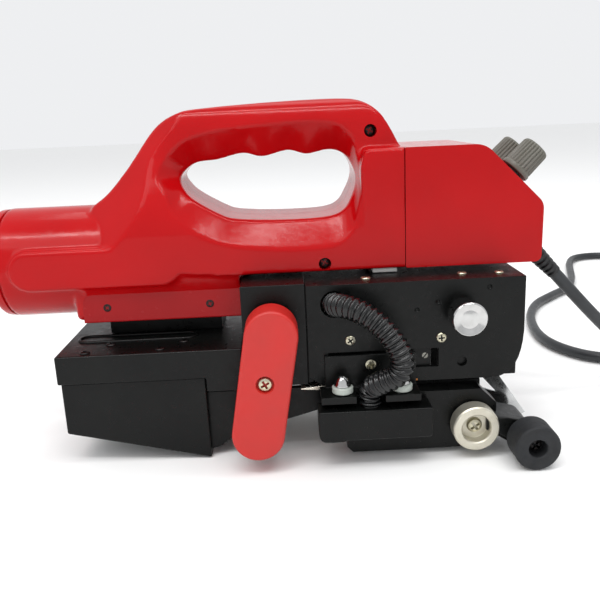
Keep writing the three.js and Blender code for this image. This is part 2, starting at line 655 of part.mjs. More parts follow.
part('carriage_bar', cut(
  block(
    [CARRIAGE_BAR.left, FRAME.near + SHEET + GAP, 43],
    [CARRIAGE_BAR.right, CARRIAGE_BAR.far, 58],
  ),
  rodY(2.3, 48.3, -50, -20, 50, 16),
), STEEL);
const bracketScrewProfile = [[0, 0], [3.2, 0.7], [3.6, 2.5], [2.1, 2.5], [2.1, 10], [0, 10]];
part('bracket_screw', turnedY(
  bracketScrewProfile, 48.3, FRAME.near - GAP - SHEET - GAP - 2.5, 50, 16), ZINC);

function roundSection(radius, sides) {
  const points = [];
  for (let i = 0; i < sides; i += 1) {
    const angle = (2 * Math.PI * i) / sides;
    points.push(new THREE.Vector2(radius * Math.cos(angle), radius * Math.sin(angle)));
  }
  return new THREE.Shape(points);
}

function tube(points, radius, sides, steps) {
  const path = new THREE.CatmullRomCurve3(points.map(([x, y, z]) => new THREE.Vector3(x, y, z)));
  const section = roundSection(radius, sides);
  return toSolid(new THREE.ExtrudeGeometry(section, { steps, extrudePath: path }));
}

const CONDUIT_ROUTE = [
  [CONDUIT.holeX, -32, CONDUIT.holeZ], [31, -38, 82.5], [34.6, -45, 83.5], [42, -51, 82],
  [51, -55.8, 76], [58, -58.4, 67], [61.2, -58.5, 58.5], [59.2, -56.6, 51], [51.9, -52, 45.5],
  [47.7, -48, 41.5], [46.7, -47.1, 37.5], [CONDUIT.x, CONDUIT.y, 33],
  [CONDUIT.x, CONDUIT.y, 28.6],
];
part('conduit', tube(CONDUIT_ROUTE, CONDUIT.radius, 12, 26), BLACK_PLASTIC);

// ---- pressure adjuster ----------------------------------------------------------------------------------
const adjusterProfile = [
  [0, 0], [ADJUSTER.radius - 0.5, 0], [ADJUSTER.radius, 0.5], [ADJUSTER.radius, 11.5],
  [ADJUSTER.radius - 0.5, 12], [3, 12], [3, 6], [0, 6],
];
part('adjust_knob',
  turnedY(adjusterProfile, ADJUSTER.x, ADJUSTER.near, ADJUSTER.z, 32), CHROME);
part('adjust_screw', join(
  rodY(2.8, ADJUSTER.x, ADJUSTER.near + 7, -22, ADJUSTER.z, 16),
  rodY(6, ADJUSTER.x, ADJUSTER.far + GAP, FRAME.near - GAP, ADJUSTER.z, 20),
), BLACK_STEEL);

// ---- controls -------------------------------------------------------------------------------------------
const knobProfile = [
  [0, 12.5], [3.2, 12.5], [3.2, 0], [KNOB.radius, 0], [KNOB.radius - 0.3, KNOB.length - 1.2],
  [KNOB.radius - 1.4, KNOB.length], [0, KNOB.length],
];
const potProfile = [
  [0, 0], [7.5, 0], [7.5, 10], [3.9, 10], [3.9, 14.5], [2.9, 14.5], [2.9, 26], [0, 26],
];
[['speed', -1], ['temperature', 1]].forEach(([name, side]) => {
  part(`${name}_knob`, onSlope(knobProfile, side, KNOB.standoff, 24), GREY_PLASTIC);
  part(`${name}_control`, onSlope(potProfile, side, -12.4, 16), STEEL);
});
part('control_board', block([80, -8, 101], [116, 38, 102.6]), BOARD);

function switchBody() {
  const { y, z, right } = SWITCH;
  const inside = block([129, y - 7.7, z - 8.1], [COVER.right - 1, y + 7.7, z + 8.1]);
  const bezel = block([COVER.right + GAP, y - 9.5, z - 10], [right - 1, y + 9.5, z + 10]);
  const waist = block([COVER.right - 2, y - 7.7, z - 8.1], [COVER.right + 1, y + 7.7, z + 8.1]);
  const room = rodY(SWITCH.rockerRadius + 0.3, SWITCH.pivotX, y - 6.5, y + 6.5, z, 24);
  const mouth = block([SWITCH.pivotX, y - 6.5, z - 7.2], [right + 5, y + 6.5, z + 7.2]);
  return cut(join(inside, bezel, waist), room, mouth);
}
part('power_switch', switchBody(), BLACK_PLASTIC);
const rockerFace = polygon([
  [SWITCH.pivotX - 8, SWITCH.z - 8], [SWITCH.right - 2.4, SWITCH.z - 8],
  [SWITCH.right - 0.8, SWITCH.z - 1], [SWITCH.right, SWITCH.z + 8],
  [SWITCH.pivotX - 8, SWITCH.z + 8],
]);
part('power_rocker', rodY(
  SWITCH.rockerRadius, SWITCH.pivotX, SWITCH.y - 6.2, SWITCH.y + 6.2, SWITCH.z, 24,
).intersect(plate(rockerFace, SWITCH.y - 10, SWITCH.y + 10)), RED);

// ---- mains lead -------------------------------------------------------------------------------------------
const LEAD_EXIT = new THREE.Vector3(COVER.right + 1, MID_Y, 100.5);
const LEAD_DIRECTION = new THREE.Vector3(0.7, 0.1, -0.707).normalize();
const RELIEF_LENGTH = 28;

function strainRelief() {
  const upright = new THREE.Vector3(0, 1, 0);
  const lean = new THREE.Quaternion().setFromUnitVectors(upright, LEAD_DIRECTION);
  const boot = turned([[0, -1], [5.4, -1], [4.2, RELIEF_LENGTH], [0, RELIEF_LENGTH]], 20)
    .applyQuaternion(lean)
    .translate(LEAD_EXIT.x, LEAD_EXIT.y, LEAD_EXIT.z);
  const outside = toSolid(boot).subtract(block([100, -40, 60], [COVER.right + 0.5, 60, 120]));
  const collar = rodX(6, COVER.right - 6, COVER.right + 1.4, MID_Y, 101.5, 20);
  const plug = rodX(7.6, COVER.right + GAP, COVER.right + 1.6, MID_Y, 101.5, 20);
  return join(collar, plug, outside);
}
part('strain_relief', strainRelief(), BLACK_PLASTIC);

const leadStart = LEAD_EXIT.clone().addScaledVector(LEAD_DIRECTION, RELIEF_LENGTH + GAP);
const floor = CORD_RADIUS + 0.4;
const LEAD_ROUTE = [
  leadStart.toArray(),
  [173, 20, 69], [187, 24, 54.5], [202, 29, 40], [218, 33, 26.5], [234, 36.5, 15.5],
  [251, 40, 8], [270, 42.5, 4.6], [292, 44, floor], [322, 49, floor], [352, 62, floor],
  [375, 90, floor], [388, 130, floor], [394, 180, floor], [397, 240, floor], [398, 300, floor],
  [397, 345, floor], [395, 377, floor], [381, 402, floor], [358, 410, floor],
  [335, 402, floor], [320, 379, floor], [307, 345, floor], [293, 307, floor], [275, 272, floor],
  [252, 248, floor], [227, 220, floor], [210, 186, floor], [200, 148, floor], [199, 116, floor],
  [209, 90, floor], [226, 76, floor], [250, 73, floor], [275, 75.5, floor],
  [COIL.x - 13, COIL.y - COIL.outer - 4.5, floor],
];
part('power_cord', tube(LEAD_ROUTE, CORD_RADIUS, 8, 78), BLACK_PLASTIC);

const coilProfile = [
  [COIL.inner, 0.2], [COIL.outer, 0.2], [COIL.outer, COIL.height], [COIL.inner, COIL.height],
  [COIL.inner, 0.2],
];
part('cord_coil', turnedZ(coilProfile, COIL.x, COIL.y, 0, 32), BLACK_PLASTIC);

const PLUG = { x: 357, y: 192, radius: 16, pinSpacing: 19, pinRadius: 2.4, pinLength: 19 };
const plugZ = PLUG.radius + 0.2;
const TAIL_ROUTE = [
  [COIL.x + 46.5, COIL.y + 28.5, 21], [358.2, 171, 18.6], [357.5, 181, 17],
  [PLUG.x, PLUG.y - GAP, plugZ],
];
part('cord_tail', tube(TAIL_ROUTE, CORD_RADIUS, 8, 4), BLACK_PLASTIC);

function plug() {
  const profile = [[0, 0], [4.6, 0], [8.5, 26], [PLUG.radius, 32], [PLUG.radius, 50], [0, 50]];
  const pins = [-0.5, 0.5].map((side) => {
    const x = PLUG.x + side * PLUG.pinSpacing;
    return rodY(PLUG.pinRadius, x, PLUG.y + 48, PLUG.y + 50 + PLUG.pinLength, plugZ, 12);
  });
  return join(turnedY(profile, PLUG.x, PLUG.y, plugZ, 24), ...pins);
}
part('cord_plug', plug(), BLACK_PLASTIC);

// The origin is under the middle of the machine, between the motor's end cap and the knobs.
machine.position.x = CENTRE_SHIFT;

export default machine;
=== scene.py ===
"""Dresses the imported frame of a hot-wedge liner welder with finished pieces and materials."""

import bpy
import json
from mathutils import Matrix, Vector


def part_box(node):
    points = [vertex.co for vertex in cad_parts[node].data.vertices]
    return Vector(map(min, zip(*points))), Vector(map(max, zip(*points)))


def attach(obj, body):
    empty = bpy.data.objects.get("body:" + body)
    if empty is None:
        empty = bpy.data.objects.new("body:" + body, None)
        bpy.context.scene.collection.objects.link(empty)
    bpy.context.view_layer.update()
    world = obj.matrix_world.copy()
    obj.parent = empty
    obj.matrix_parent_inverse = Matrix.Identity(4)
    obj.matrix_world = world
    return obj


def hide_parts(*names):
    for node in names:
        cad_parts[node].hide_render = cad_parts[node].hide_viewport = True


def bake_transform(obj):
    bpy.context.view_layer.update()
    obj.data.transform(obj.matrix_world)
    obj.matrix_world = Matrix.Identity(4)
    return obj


bl_info = {
    "name": "Hot-wedge liner welder",
    "version": (1, 0, 0),
    "blender": (4, 5, 0),
    "location": "View3D > Sidebar > Welder",
    "description": "Moulded housing, steel frame, press lever, heated wedge, wheels and mains lead",
    "category": "Add Mesh",
}

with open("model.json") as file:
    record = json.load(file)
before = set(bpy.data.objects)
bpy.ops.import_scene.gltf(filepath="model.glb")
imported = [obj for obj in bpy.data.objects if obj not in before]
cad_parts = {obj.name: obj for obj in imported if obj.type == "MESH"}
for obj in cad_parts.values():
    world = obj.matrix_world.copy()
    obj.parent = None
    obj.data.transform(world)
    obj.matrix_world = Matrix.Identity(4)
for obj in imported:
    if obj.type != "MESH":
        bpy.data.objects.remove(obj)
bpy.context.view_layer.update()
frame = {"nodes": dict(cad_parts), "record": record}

import json
import math

import bmesh
import bpy
from mathutils import Matrix, Vector

MM = 0.001

# The drawing's zero of X lies this far from the frame's, found from the control box's left side.
ZERO_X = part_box("control_box_cover")[0].x - 70 * MM
MID_Y = 15.0  # middle plane of the housing
NEAR_Y, FAR_Y = (value / MM for value in (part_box("control_box_cover")[i].y for i in (0, 1)))
COVER_BOTTOM, COVER_TOP = (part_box("control_box_cover")[i].z / MM for i in (0, 1))
FRONT_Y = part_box("upper_frame_cover")[0].y / MM  # near face of the folded frame
FRAME_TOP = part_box("upper_frame_cover")[1].z / MM
GEARBOX_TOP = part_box("gear_box_cover")[1].z / MM
ALONG_Y = Vector((0, 1, 0))


def place(x, y, z):
    """A point of the drawing, in millimetres, as a point of the frame, in metres."""
    return Vector((x * MM + ZERO_X, y * MM, z * MM))


def middle(node):
    """The middle of a CAD node's box, in the drawing's millimetres."""
    low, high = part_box(node)
    centre = (low + high) / 2
    return (centre.x - ZERO_X) / MM, centre.y / MM, centre.z / MM


# ---- outlines ---------------------------------------------------------------------------------

def rounded(points, radius, closed=True, steps=4):
    """A polyline with its corners rounded. A third value on a point is that corner's own radius."""
    count = len(points)
    out = []
    for i, point in enumerate(points):
        own = point[2] if len(point) > 2 else radius
        corner = Vector(point[:2])
        if own == 0 or (not closed and i in (0, count - 1)):
            out.append(corner)
            continue
        before = Vector(points[i - 1][:2]) - corner
        after = Vector(points[(i + 1) % count][:2]) - corner
        reach = own / math.tan(before.angle(after) / 2)
        reach = min(reach, 0.49 * before.length, 0.49 * after.length)
        start = corner + before.normalized() * reach
        end = corner + after.normalized() * reach
        for k in range(steps + 1):
            t = k / steps
            out.append(start * (1 - t) ** 2 + corner * (2 * t * (1 - t)) + end * t ** 2)
    return out


def flowing(points, closed=False, steps=4):
    """A smooth curve through points, of any dimension."""
    points = [Vector(p) for p in points]
    count = len(points)
    out = []
    for i in range(count if closed else count - 1):
        if closed:
            a, b, c, d = (points[(i + k) % count] for k in (-1, 0, 1, 2))
        else:
            b, c = points[i], points[i + 1]
            a = points[i - 1] if i else b * 2 - c
            d = points[i + 2] if i + 2 < count else c * 2 - b
        for k in range(steps):
            t = k / steps
            out.append(
                (b * 2 + (c - a) * t + (a * 2 - b * 5 + c * 4 - d) * t ** 2
                 + (b * 3 - a - c * 3 + d) * t ** 3) / 2
            )
    if not closed:
        out.append(points[-1])
    return out


def bar_outline(x, z, length, width, lean=0.0, steps=20):
    """A bar with round ends, turned by lean from the X direction."""
    reach = (length - width) / 2
    turn = Matrix.Rotation(lean, 2)
    out = []
    for side, first in ((1, -math.pi / 2), (-1, math.pi / 2)):
        for k in range(steps + 1):
            angle = first + math.pi * k / steps
            spot = Vector((side * reach + math.cos(angle) * width / 2, math.sin(angle) * width / 2))
            out.append(turn @ spot + Vector((x, z)))
    return out


# ---- solids -----------------------------------------------------------------------------------

def soften(bm, edge, segments=3, angle=40.0):
    """Bevels every edge that turns by more than angle, by edge millimetres."""
    sharp = [
        e for e in bm.edges
        if len(e.link_faces) == 2 and e.calc_face_angle() > math.radians(angle)
    ]
    bmesh.ops.bevel(
        bm, geom=sharp, offset=edge * MM, offset_type="OFFSET", segments=segments,
        profile=0.5, affect="EDGES", clamp_overlap=True, material=-1,
    )
    return bm


def prism(outline, y0, y1, edge=0.0, segments=3):
    """An outline in X and Z, extruded from y0 to y1, with its two rims rounded by edge."""
    bm = bmesh.new()
    face = bm.faces.new([bm.verts.new(place(p[0], y0, p[1])) for p in outline])
    made = bmesh.ops.extrude_face_region(bm, geom=[face])["geom"]
    moved = [v for v in made if isinstance(v, bmesh.types.BMVert)]
    bmesh.ops.translate(bm, vec=(0, (y1 - y0) * MM, 0), verts=moved)
    bmesh.ops.recalc_face_normals(bm, faces=bm.faces)
    if edge:
        rims = [e for e in bm.edges if abs(e.verts[0].co.y - e.verts[1].co.y) < 1e-7]
        bmesh.ops.bevel(
            bm, geom=rims, offset=edge * MM, offset_type="OFFSET", segments=segments,
            profile=0.5, affect="EDGES", clamp_overlap=True, material=-1,
        )
    return bm


def box(low, high):
    """A block between two corners of the drawing."""
    bm = bmesh.new()
    size = [b - a for a, b in zip(low, high)]
    centre = place(*[(a + b) / 2 for a, b in zip(low, high)])
    shape = Matrix.Translation(centre) @ Matrix.Diagonal((*[s * MM for s in size], 1))
    bmesh.ops.create_cube(bm, size=1, matrix=shape)
    return bm


def toward(axis, centre):
    """A matrix that stands the local Z axis along axis, at a point of the drawing."""
    turn = Vector(axis).to_track_quat("Z", "Y").to_matrix().to_4x4()
    return Matrix.Translation(place(*centre)) @ turn


def spun(profile, axis, centre, segments=64, edge=0.0):
    """A turned piece: profile is [radius, distance] in millimetres along axis from centre."""
    bm = bmesh.new()
    line = rounded(profile, edge, closed=False, steps=3) if edge else [Vector(p) for p in profile]
    verts = [bm.verts.new((p[0] * MM, 0, p[1] * MM)) for p in line]
    edges = [bm.edges.new(pair) for pair in zip(verts, verts[1:])]
    bmesh.ops.spin(
        bm, geom=verts + edges, cent=(0, 0, 0), axis=(0, 0, 1), angle=2 * math.pi,
        steps=segments, use_merge=True, use_duplicate=False,
    )
    bmesh.ops.remove_doubles(bm, verts=bm.verts, dist=1e-6)
    bmesh.ops.recalc_face_normals(bm, faces=bm.faces)
    bmesh.ops.transform(bm, matrix=toward(axis, centre), verts=bm.verts)
    return bm


def loft(sections):
    """A closed skin through sections with the same number of points, capped at both ends."""
    bm = bmesh.new()
    loops = [[bm.verts.new(p) for p in section] for section in sections]
    count = len(loops[0])
    for near, far in zip(loops, loops[1:]):
        for i in range(count):
            bm.faces.new((near[i], near[(i + 1) % count], far[(i + 1) % count], far[i]))
    bm.faces.new(loops[0])
    bm.faces.new(loops[-1])
    bmesh.ops.recalc_face_normals(bm, faces=bm.faces)
    return bm


def swept(points, radius_at, sides=24):
    """A tube along points in metres, with radius_at(distance) in metres."""
    points = [Vector(p) for p in points]
    up = Vector((0, 0, 1))
    distance = 0.0
    sections = []
    for i, point in enumerate(points):
        ahead = points[min(i + 1, len(points) - 1)] - points[max(i - 1, 0)]
        ahead.normalize()
        across = (up - ahead * up.dot(ahead)).normalized()
        up = across
        side = ahead.cross(across)
        if i:
            distance += (point - points[i - 1]).length
        radius = radius_at(distance)
        ring = []
        for k in range(sides):
            angle = 2 * math.pi * k / sides
            ring.append(point + (across * math.cos(angle) + side * math.sin(angle)) * radius)
        sections.append(ring)
    return loft(sections)


def merge(*shapes):
    """One bmesh that holds several."""
    whole = bmesh.new()
    for shape in shapes:
        mesh = bpy.data.meshes.new("joined")
        shape.to_mesh(mesh)
        shape.free()
        whole.from_mesh(mesh)
        bpy.data.meshes.remove(mesh)
    return whole


def as_object(shape, name="tool"):
    """A plain object that holds a bmesh."""
    mesh = bpy.data.meshes.new(name)
    shape.to_mesh(mesh)
    shape.free()
    made = bpy.data.objects.new(name, mesh)
    bpy.context.scene.collection.objects.link(made)
    return made


def settle(target):
    """Applies an object's modifiers to its mesh."""
    depsgraph = bpy.context.evaluated_depsgraph_get()
    mesh = bpy.data.meshes.new_from_object(target.evaluated_get(depsgraph))
    target.modifiers.clear()
    target.data = mesh
    return target


def carved(target, tool, operation="DIFFERENCE"):
    """target with tool cut from it, joined to it, or crossed with it. Both are bmeshes."""
    body = target if isinstance(target, bpy.types.Object) else as_object(target, "body")
    cutter = as_object(tool)
    step = body.modifiers.new("cut", "BOOLEAN")
    step.operation = operation
    step.solver = "EXACT"
    step.object = cutter
    settle(body)
    bpy.data.objects.remove(cutter)
    return body


def to_bmesh(target):
    """The bmesh of an object, which is then removed."""
    bm = bmesh.new()
    bm.from_mesh(target.data)
    bpy.data.objects.remove(target)
    return bm


def piece(name, shape, material, body, replaces=(), smooth=35.0, flat_first=True):
    """A finished piece that rides on a body and takes the place of CAD nodes.

    With flat_first, a flat face shades flat right up to its rounded edges."""
    made = shape if isinstance(shape, bpy.types.Object) else as_object(shape, name)
    made.name = name
    made.data.name = name
    made.data.materials.clear()
    made.data.materials.append(material)
    made.data.shade_smooth()
    made.data.set_sharp_from_angle(angle=math.radians(smooth))
    if flat_first:
        even = made.modifiers.new("even", "WEIGHTED_NORMAL")
        even.keep_sharp = True
        even.weight = 100
        settle(made)
    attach(made, body)
    if replaces:
        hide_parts(*replaces)
    return made


# ---- materials --------------------------------------------------------------------------------

def linear(colour):
    """An sRGB hex colour as the linear values that the shader reads."""
    values = [int(colour[i:i + 2], 16) / 255 for i in (1, 3, 5)]
    return (*[v / 12.92 if v <= 0.04045 else ((v + 0.055) / 1.055) ** 2.4 for v in values], 1.0)


def put(tree, kind, inputs=None, **settings):
    """Adds a node, with its settings, and its inputs as values or as links."""
    made = tree.nodes.new(kind)
    for name, value in settings.items():
        setattr(made, name, value)
    for socket, value in (inputs or {}).items():
        if isinstance(value, bpy.types.NodeSocket):
            tree.links.new(value, made.inputs[socket])
        else:
            made.inputs[socket].default_value = value
    return made


def grain(tree, where, size, detail=2.0, roughness=0.5):
    """Noise whose features are size millimetres across."""
    inputs = {"Vector": where, "Scale": 1 / (size * MM), "Detail": detail, "Roughness": roughness}
    return put(tree, "ShaderNodeTexNoise", inputs).outputs["Fac"]


def spread(tree, value, low, high, from_low=0.3, from_high=0.7):
    """Noise stretched to run from low to high."""
    inputs = {0: value, 1: from_low, 2: from_high, 3: low, 4: high}
    return put(tree, "ShaderNodeMapRange", inputs).outputs[0]


def blend_colour(tree, share, first, second):
    """first where share is 0, second where it is 1."""
    inputs = {0: share, 6: linear(first), 7: linear(second)}
    return put(tree, "ShaderNodeMix", inputs, data_type="RGBA").outputs[2]


def raised(tree, height, depth, strength=1.0):
    """A bump whose height is depth millimetres."""
    inputs = {"Height": height, "Distance": depth * MM, "Strength": strength}
    return put(tree, "ShaderNodeBump", inputs).outputs["Normal"]


def surface(name):
    """A new material, with its tree, its shader and its object coordinates."""
    material = bpy.data.materials.new(name)
    material.use_nodes = True
    tree = material.node_tree
    shader = next(n for n in tree.nodes if n.type == "BSDF_PRINCIPLED")
    where = put(tree, "ShaderNodeTexCoord").outputs["Object"]
    return material, tree, shader, where


def moulded_abs(name, first, second, low=0.13, high=0.24):
    """Glossy injection-moulded ABS: an even deep colour, a clear shine with a faint orange peel,
    and handling marks that only show as duller streaks."""
    material, tree, shader, where = surface(name)
    tone = spread(tree, grain(tree, where, 45, 3), 0, 1)
    colour = blend_colour(tree, tone, first, second)
    tree.links.new(colour, shader.inputs["Base Color"])
    marks = grain(tree, where, 6, 6, 0.7)
    rough = spread(tree, marks, low, high, 0.45, 0.75)
    tree.links.new(rough, shader.inputs["Roughness"])
    peel = grain(tree, where, 3.0, 1)
    tree.links.new(raised(tree, peel, 0.035), shader.inputs["Normal"])
    shader.inputs["IOR"].default_value = 1.52
    shader.inputs["Specular IOR Level"].default_value = 0.17
    shader.inputs["Coat Weight"].default_value = 0.03
    shader.inputs["Coat Roughness"].default_value = 0.05
    return material


def powder_coat():
    """Satin black powder coat on folded steel: nearly black, a soft sheen, and a fine
    pebbled skin."""
    material, tree, shader, where = surface("Black powder coat")
    tone = spread(tree, grain(tree, where, 20, 3), 0, 1)
    tree.links.new(blend_colour(tree, tone, "#070808", "#0D0E0D"), shader.inputs["Base Color"])
    dust = grain(tree, where, 3.5, 5, 0.65)
    tree.links.new(spread(tree, dust, 0.26, 0.42, 0.35, 0.7), shader.inputs["Roughness"])
    pebble = grain(tree, where, 0.7, 2)
    tree.links.new(raised(tree, pebble, 0.02), shader.inputs["Normal"])
    shader.inputs["IOR"].default_value = 1.5
    shader.inputs["Specular IOR Level"].default_value = 0.2
    return material


def enamel():
    """Semi-matt orange-red enamel on a cast lever: soft highlights and a faint pebble."""
    material, tree, shader, where = surface("Red enamel")
    tone = spread(tree, grain(tree, where, 18, 3), 0, 1)
    tree.links.new(blend_colour(tree, tone, "#BE1C16", "#B4221C"), shader.inputs["Base Color"])
    dull = grain(tree, where, 2.5, 4, 0.6)
    tree.links.new(spread(tree, dull, 0.38, 0.52), shader.inputs["Roughness"])
    pebble = grain(tree, where, 0.6, 2)
    tree.links.new(raised(tree, pebble, 0.02), shader.inputs["Normal"])
    shader.inputs["IOR"].default_value = 1.5
    return material


def plastic(name, first, second, low, high, size=0.6, depth=0.02):
    """Moulded nylon or PVC: a dull even colour with a spark-eroded grain."""
    material, tree, shader, where = surface(name)
    tone = spread(tree, grain(tree, where, 12, 3), 0, 1)
    tree.links.new(blend_colour(tree, tone, first, second), shader.inputs["Base Color"])
    scuff = grain(tree, where, 4, 5, 0.65)
    tree.links.new(spread(tree, scuff, low, high), shader.inputs["Roughness"])
    tree.links.new(raised(tree, grain(tree, where, size, 2), depth), shader.inputs["Normal"])
    shader.inputs["IOR"].default_value = 1.48
    return material


def metal(name, first, second, low, high, size=0.5, depth=0.006):
    """Bare or plated metal: a tone that drifts over it, and fine marks in its shine."""
    material, tree, shader, where = surface(name)
    tone = spread(tree, grain(tree, where, 5, 4), 0, 1)
    tree.links.new(blend_colour(tree, tone, first, second), shader.inputs["Base Color"])
    shader.inputs["Metallic"].default_value = 1.0
    fine = grain(tree, where, 1.6, 5, 0.7)
    tree.links.new(spread(tree, fine, low, high), shader.inputs["Roughness"])
    tree.links.new(raised(tree, grain(tree, where, size, 2), depth), shader.inputs["Normal"])
    return material


def turned_aluminium(centre):
    """Lathe-turned aluminium: a pale grey with fine rings round the wheel's axis."""
    material, tree, shader, where = surface("Turned aluminium")
    moved = put(tree, "ShaderNodeMapping", {"Vector": where, "Location": -place(*centre)})
    rings = put(
        tree, "ShaderNodeTexWave",
        {"Vector": moved.outputs["Vector"], "Scale": 1 / (2 * 0.45 * MM) / math.pi,
         "Distortion": 0.4, "Detail": 1.0},
        wave_type="RINGS", rings_direction="Y",
    ).outputs["Fac"]
    tone = spread(tree, grain(tree, where, 7, 3), 0, 1)
    tree.links.new(blend_colour(tree, tone, "#C4BFAF", "#D6D2C4"), shader.inputs["Base Color"])
    shader.inputs["Metallic"].default_value = 0.85
    tree.links.new(spread(tree, rings, 0.36, 0.5, 0, 1), shader.inputs["Roughness"])
    tree.links.new(raised(tree, rings, 0.006), shader.inputs["Normal"])
    return material


def finishes():
    """Every material by its short name, made once."""
    if not MATERIALS:
        MATERIALS.update({
            "abs": moulded_abs("Red moulded ABS", "#A30509", "#AE070C"),
            # The same red ABS made darker: the colour paints the shade that falls on the motor
            # saddle under the barrel.
            "skirt": moulded_abs("Red moulded ABS, painted shade under the barrel", "#940A0F", "#A00C12", 0.2, 0.34),
            "steel_black": powder_coat(),
            "enamel": enamel(),
            "nylon_black": plastic("Black nylon", "#0E0F10", "#151618", 0.38, 0.55),
            "conduit": plastic(
                "Black corrugated nylon", "#0B0C0D", "#121314", 0.16, 0.3, 1.0, 0.005),
            "knob": plastic("Grey moulded knob", "#57554B", "#64625A", 0.38, 0.55),
            "rubber": plastic("Moulded black rubber", "#161719", "#1F2124", 0.6, 0.8, 0.8, 0.04),
            "cable": plastic("Black PVC cable sheath", "#1E2023", "#272A2D", 0.34, 0.5, 1.2, 0.02),
            "white": plastic("White nylon", "#E6E6E2", "#EFEFEC", 0.4, 0.55),
            "ceramic": plastic("Glazed steatite", "#9FA69F", "#B4BAB3", 0.16, 0.3, 1.0, 0.01),
            "board": plastic("Solder-masked board", "#1F4A2C", "#2C5C38", 0.3, 0.45),
            "zinc": metal("Zinc-plated steel", "#C9C3A6", "#B7B3A2", 0.24, 0.42),
            "chrome": metal("Polished chrome", "#C9C9C8", "#B4B4B3", 0.05, 0.14, 2.0, 0.004),
            "stainless": metal(
                "Polished stainless steel", "#D2D3D3", "#BDBFC0", 0.1, 0.2, 2.5, 0.004),
            "steel": metal("Ground steel", "#A9AAA8", "#94958F", 0.26, 0.42),
            "cast": metal("Die-cast aluminium", "#A5A49C", "#8F8E86", 0.42, 0.6, 0.8, 0.02),
            "copper": metal("Heat-tinted copper", "#B97845", "#8E5A3A", 0.26, 0.45),
            "nickel": metal("Nickel-plated copper", "#D9D3C6", "#C6BDB0", 0.2, 0.34),
            "dark_screw": metal("Blackened steel", "#3A3838", "#262424", 0.35, 0.55),
            "aluminium": turned_aluminium(middle("guide_wheel")),
        })
    return MATERIALS


MATERIALS = {}


# ---- sizes that a user may change -------------------------------------------------------------

class StageSettings(bpy.types.PropertyGroup):
    """The camera, the floor and the lights."""

    lens: bpy.props.FloatProperty(
        name="Lens", description="Focal length of the camera, in millimetres", default=42.0)
    pitch: bpy.props.FloatProperty(
        name="Pitch", description="How far the camera looks down",
        default=math.radians(14.72), subtype="ANGLE")
    yaw: bpy.props.FloatProperty(
        name="Yaw", description="How far the camera is turned", default=math.radians(-0.79),
        subtype="ANGLE")
    roll: bpy.props.FloatProperty(
        name="Roll", description="How far the camera is tipped", default=math.radians(2.6),
        subtype="ANGLE")
    floor_size: bpy.props.FloatProperty(
        name="Floor", description="Width of the floor", default=12.0, unit="LENGTH")


class LeadSettings(bpy.types.PropertyGroup):
    """The mains lead."""

    radius: bpy.props.FloatProperty(
        name="Radius", description="Radius of the sheath", default=3.6 * MM, unit="LENGTH")
    turn_steps: bpy.props.IntProperty(
        name="Steps", description="Points in each turn of the coil", default=48)


class HousingSettings(bpy.types.PropertyGroup):
    """The moulded housing."""

    voxel: bpy.props.FloatProperty(
        name="Voxel", description="Size of the cells that blend the shapes",
        default=1.0 * MM, unit="LENGTH")
    smoothing: bpy.props.IntProperty(
        name="Smoothing", description="Passes that round the moulding", default=6)
    seam: bpy.props.FloatProperty(
        name="Seam", description="Gap between the two half shells", default=0.35 * MM,
        unit="LENGTH")


class MetalSettings(bpy.types.PropertyGroup):
    """The folded steel."""

    edge: bpy.props.FloatProperty(
        name="Edge", description="Radius of folded and cut edges, in millimetres", default=0.55)


# ---- stage ------------------------------------------------------------------------------------

CAMERA_AT = (9.0, -375.0, 174.5)
SOFTBOXES = (
    # place, point lit, width, height, power: all lengths in metres
    ((-0.9, -0.9, 1.5), (0.0, 0.0, 0.08), 1.2, 0.9, 6),
    ((-0.1, -0.62, 1.2), (0.0, 0.0, 0.1), 1.3, 0.06, 4.5),
    ((0.1, -0.32, 1.25), (0.0, 0.0, 0.1), 1.3, 0.06, 4.5),
    ((0.1, 0.7, 1.7), (0.0, 0.0, 0.1), 1.6, 0.7, 6),
)


def camera_axes(pitch, yaw, roll):
    """The camera's right, down and forward directions."""
    level = Matrix(((1, 0, 0), (0, 0, -1), (0, 1, 0)))
    turns = [
        Matrix.Rotation(angle, 3, axis)
        for angle, axis in ((-roll, "Z"), (pitch, "X"), (yaw, "Y"))
    ]
    return turns[0] @ turns[1] @ turns[2] @ level


def plain(name, colour, roughness):
    """A plain matt paint, for the stage only."""
    material = bpy.data.materials.new(name)
    material.use_nodes = True
    shader = next(n for n in material.node_tree.nodes if n.type == "BSDF_PRINCIPLED")
    shader.inputs["Base Color"].default_value = linear(colour)
    shader.inputs["Roughness"].default_value = roughness
    return material


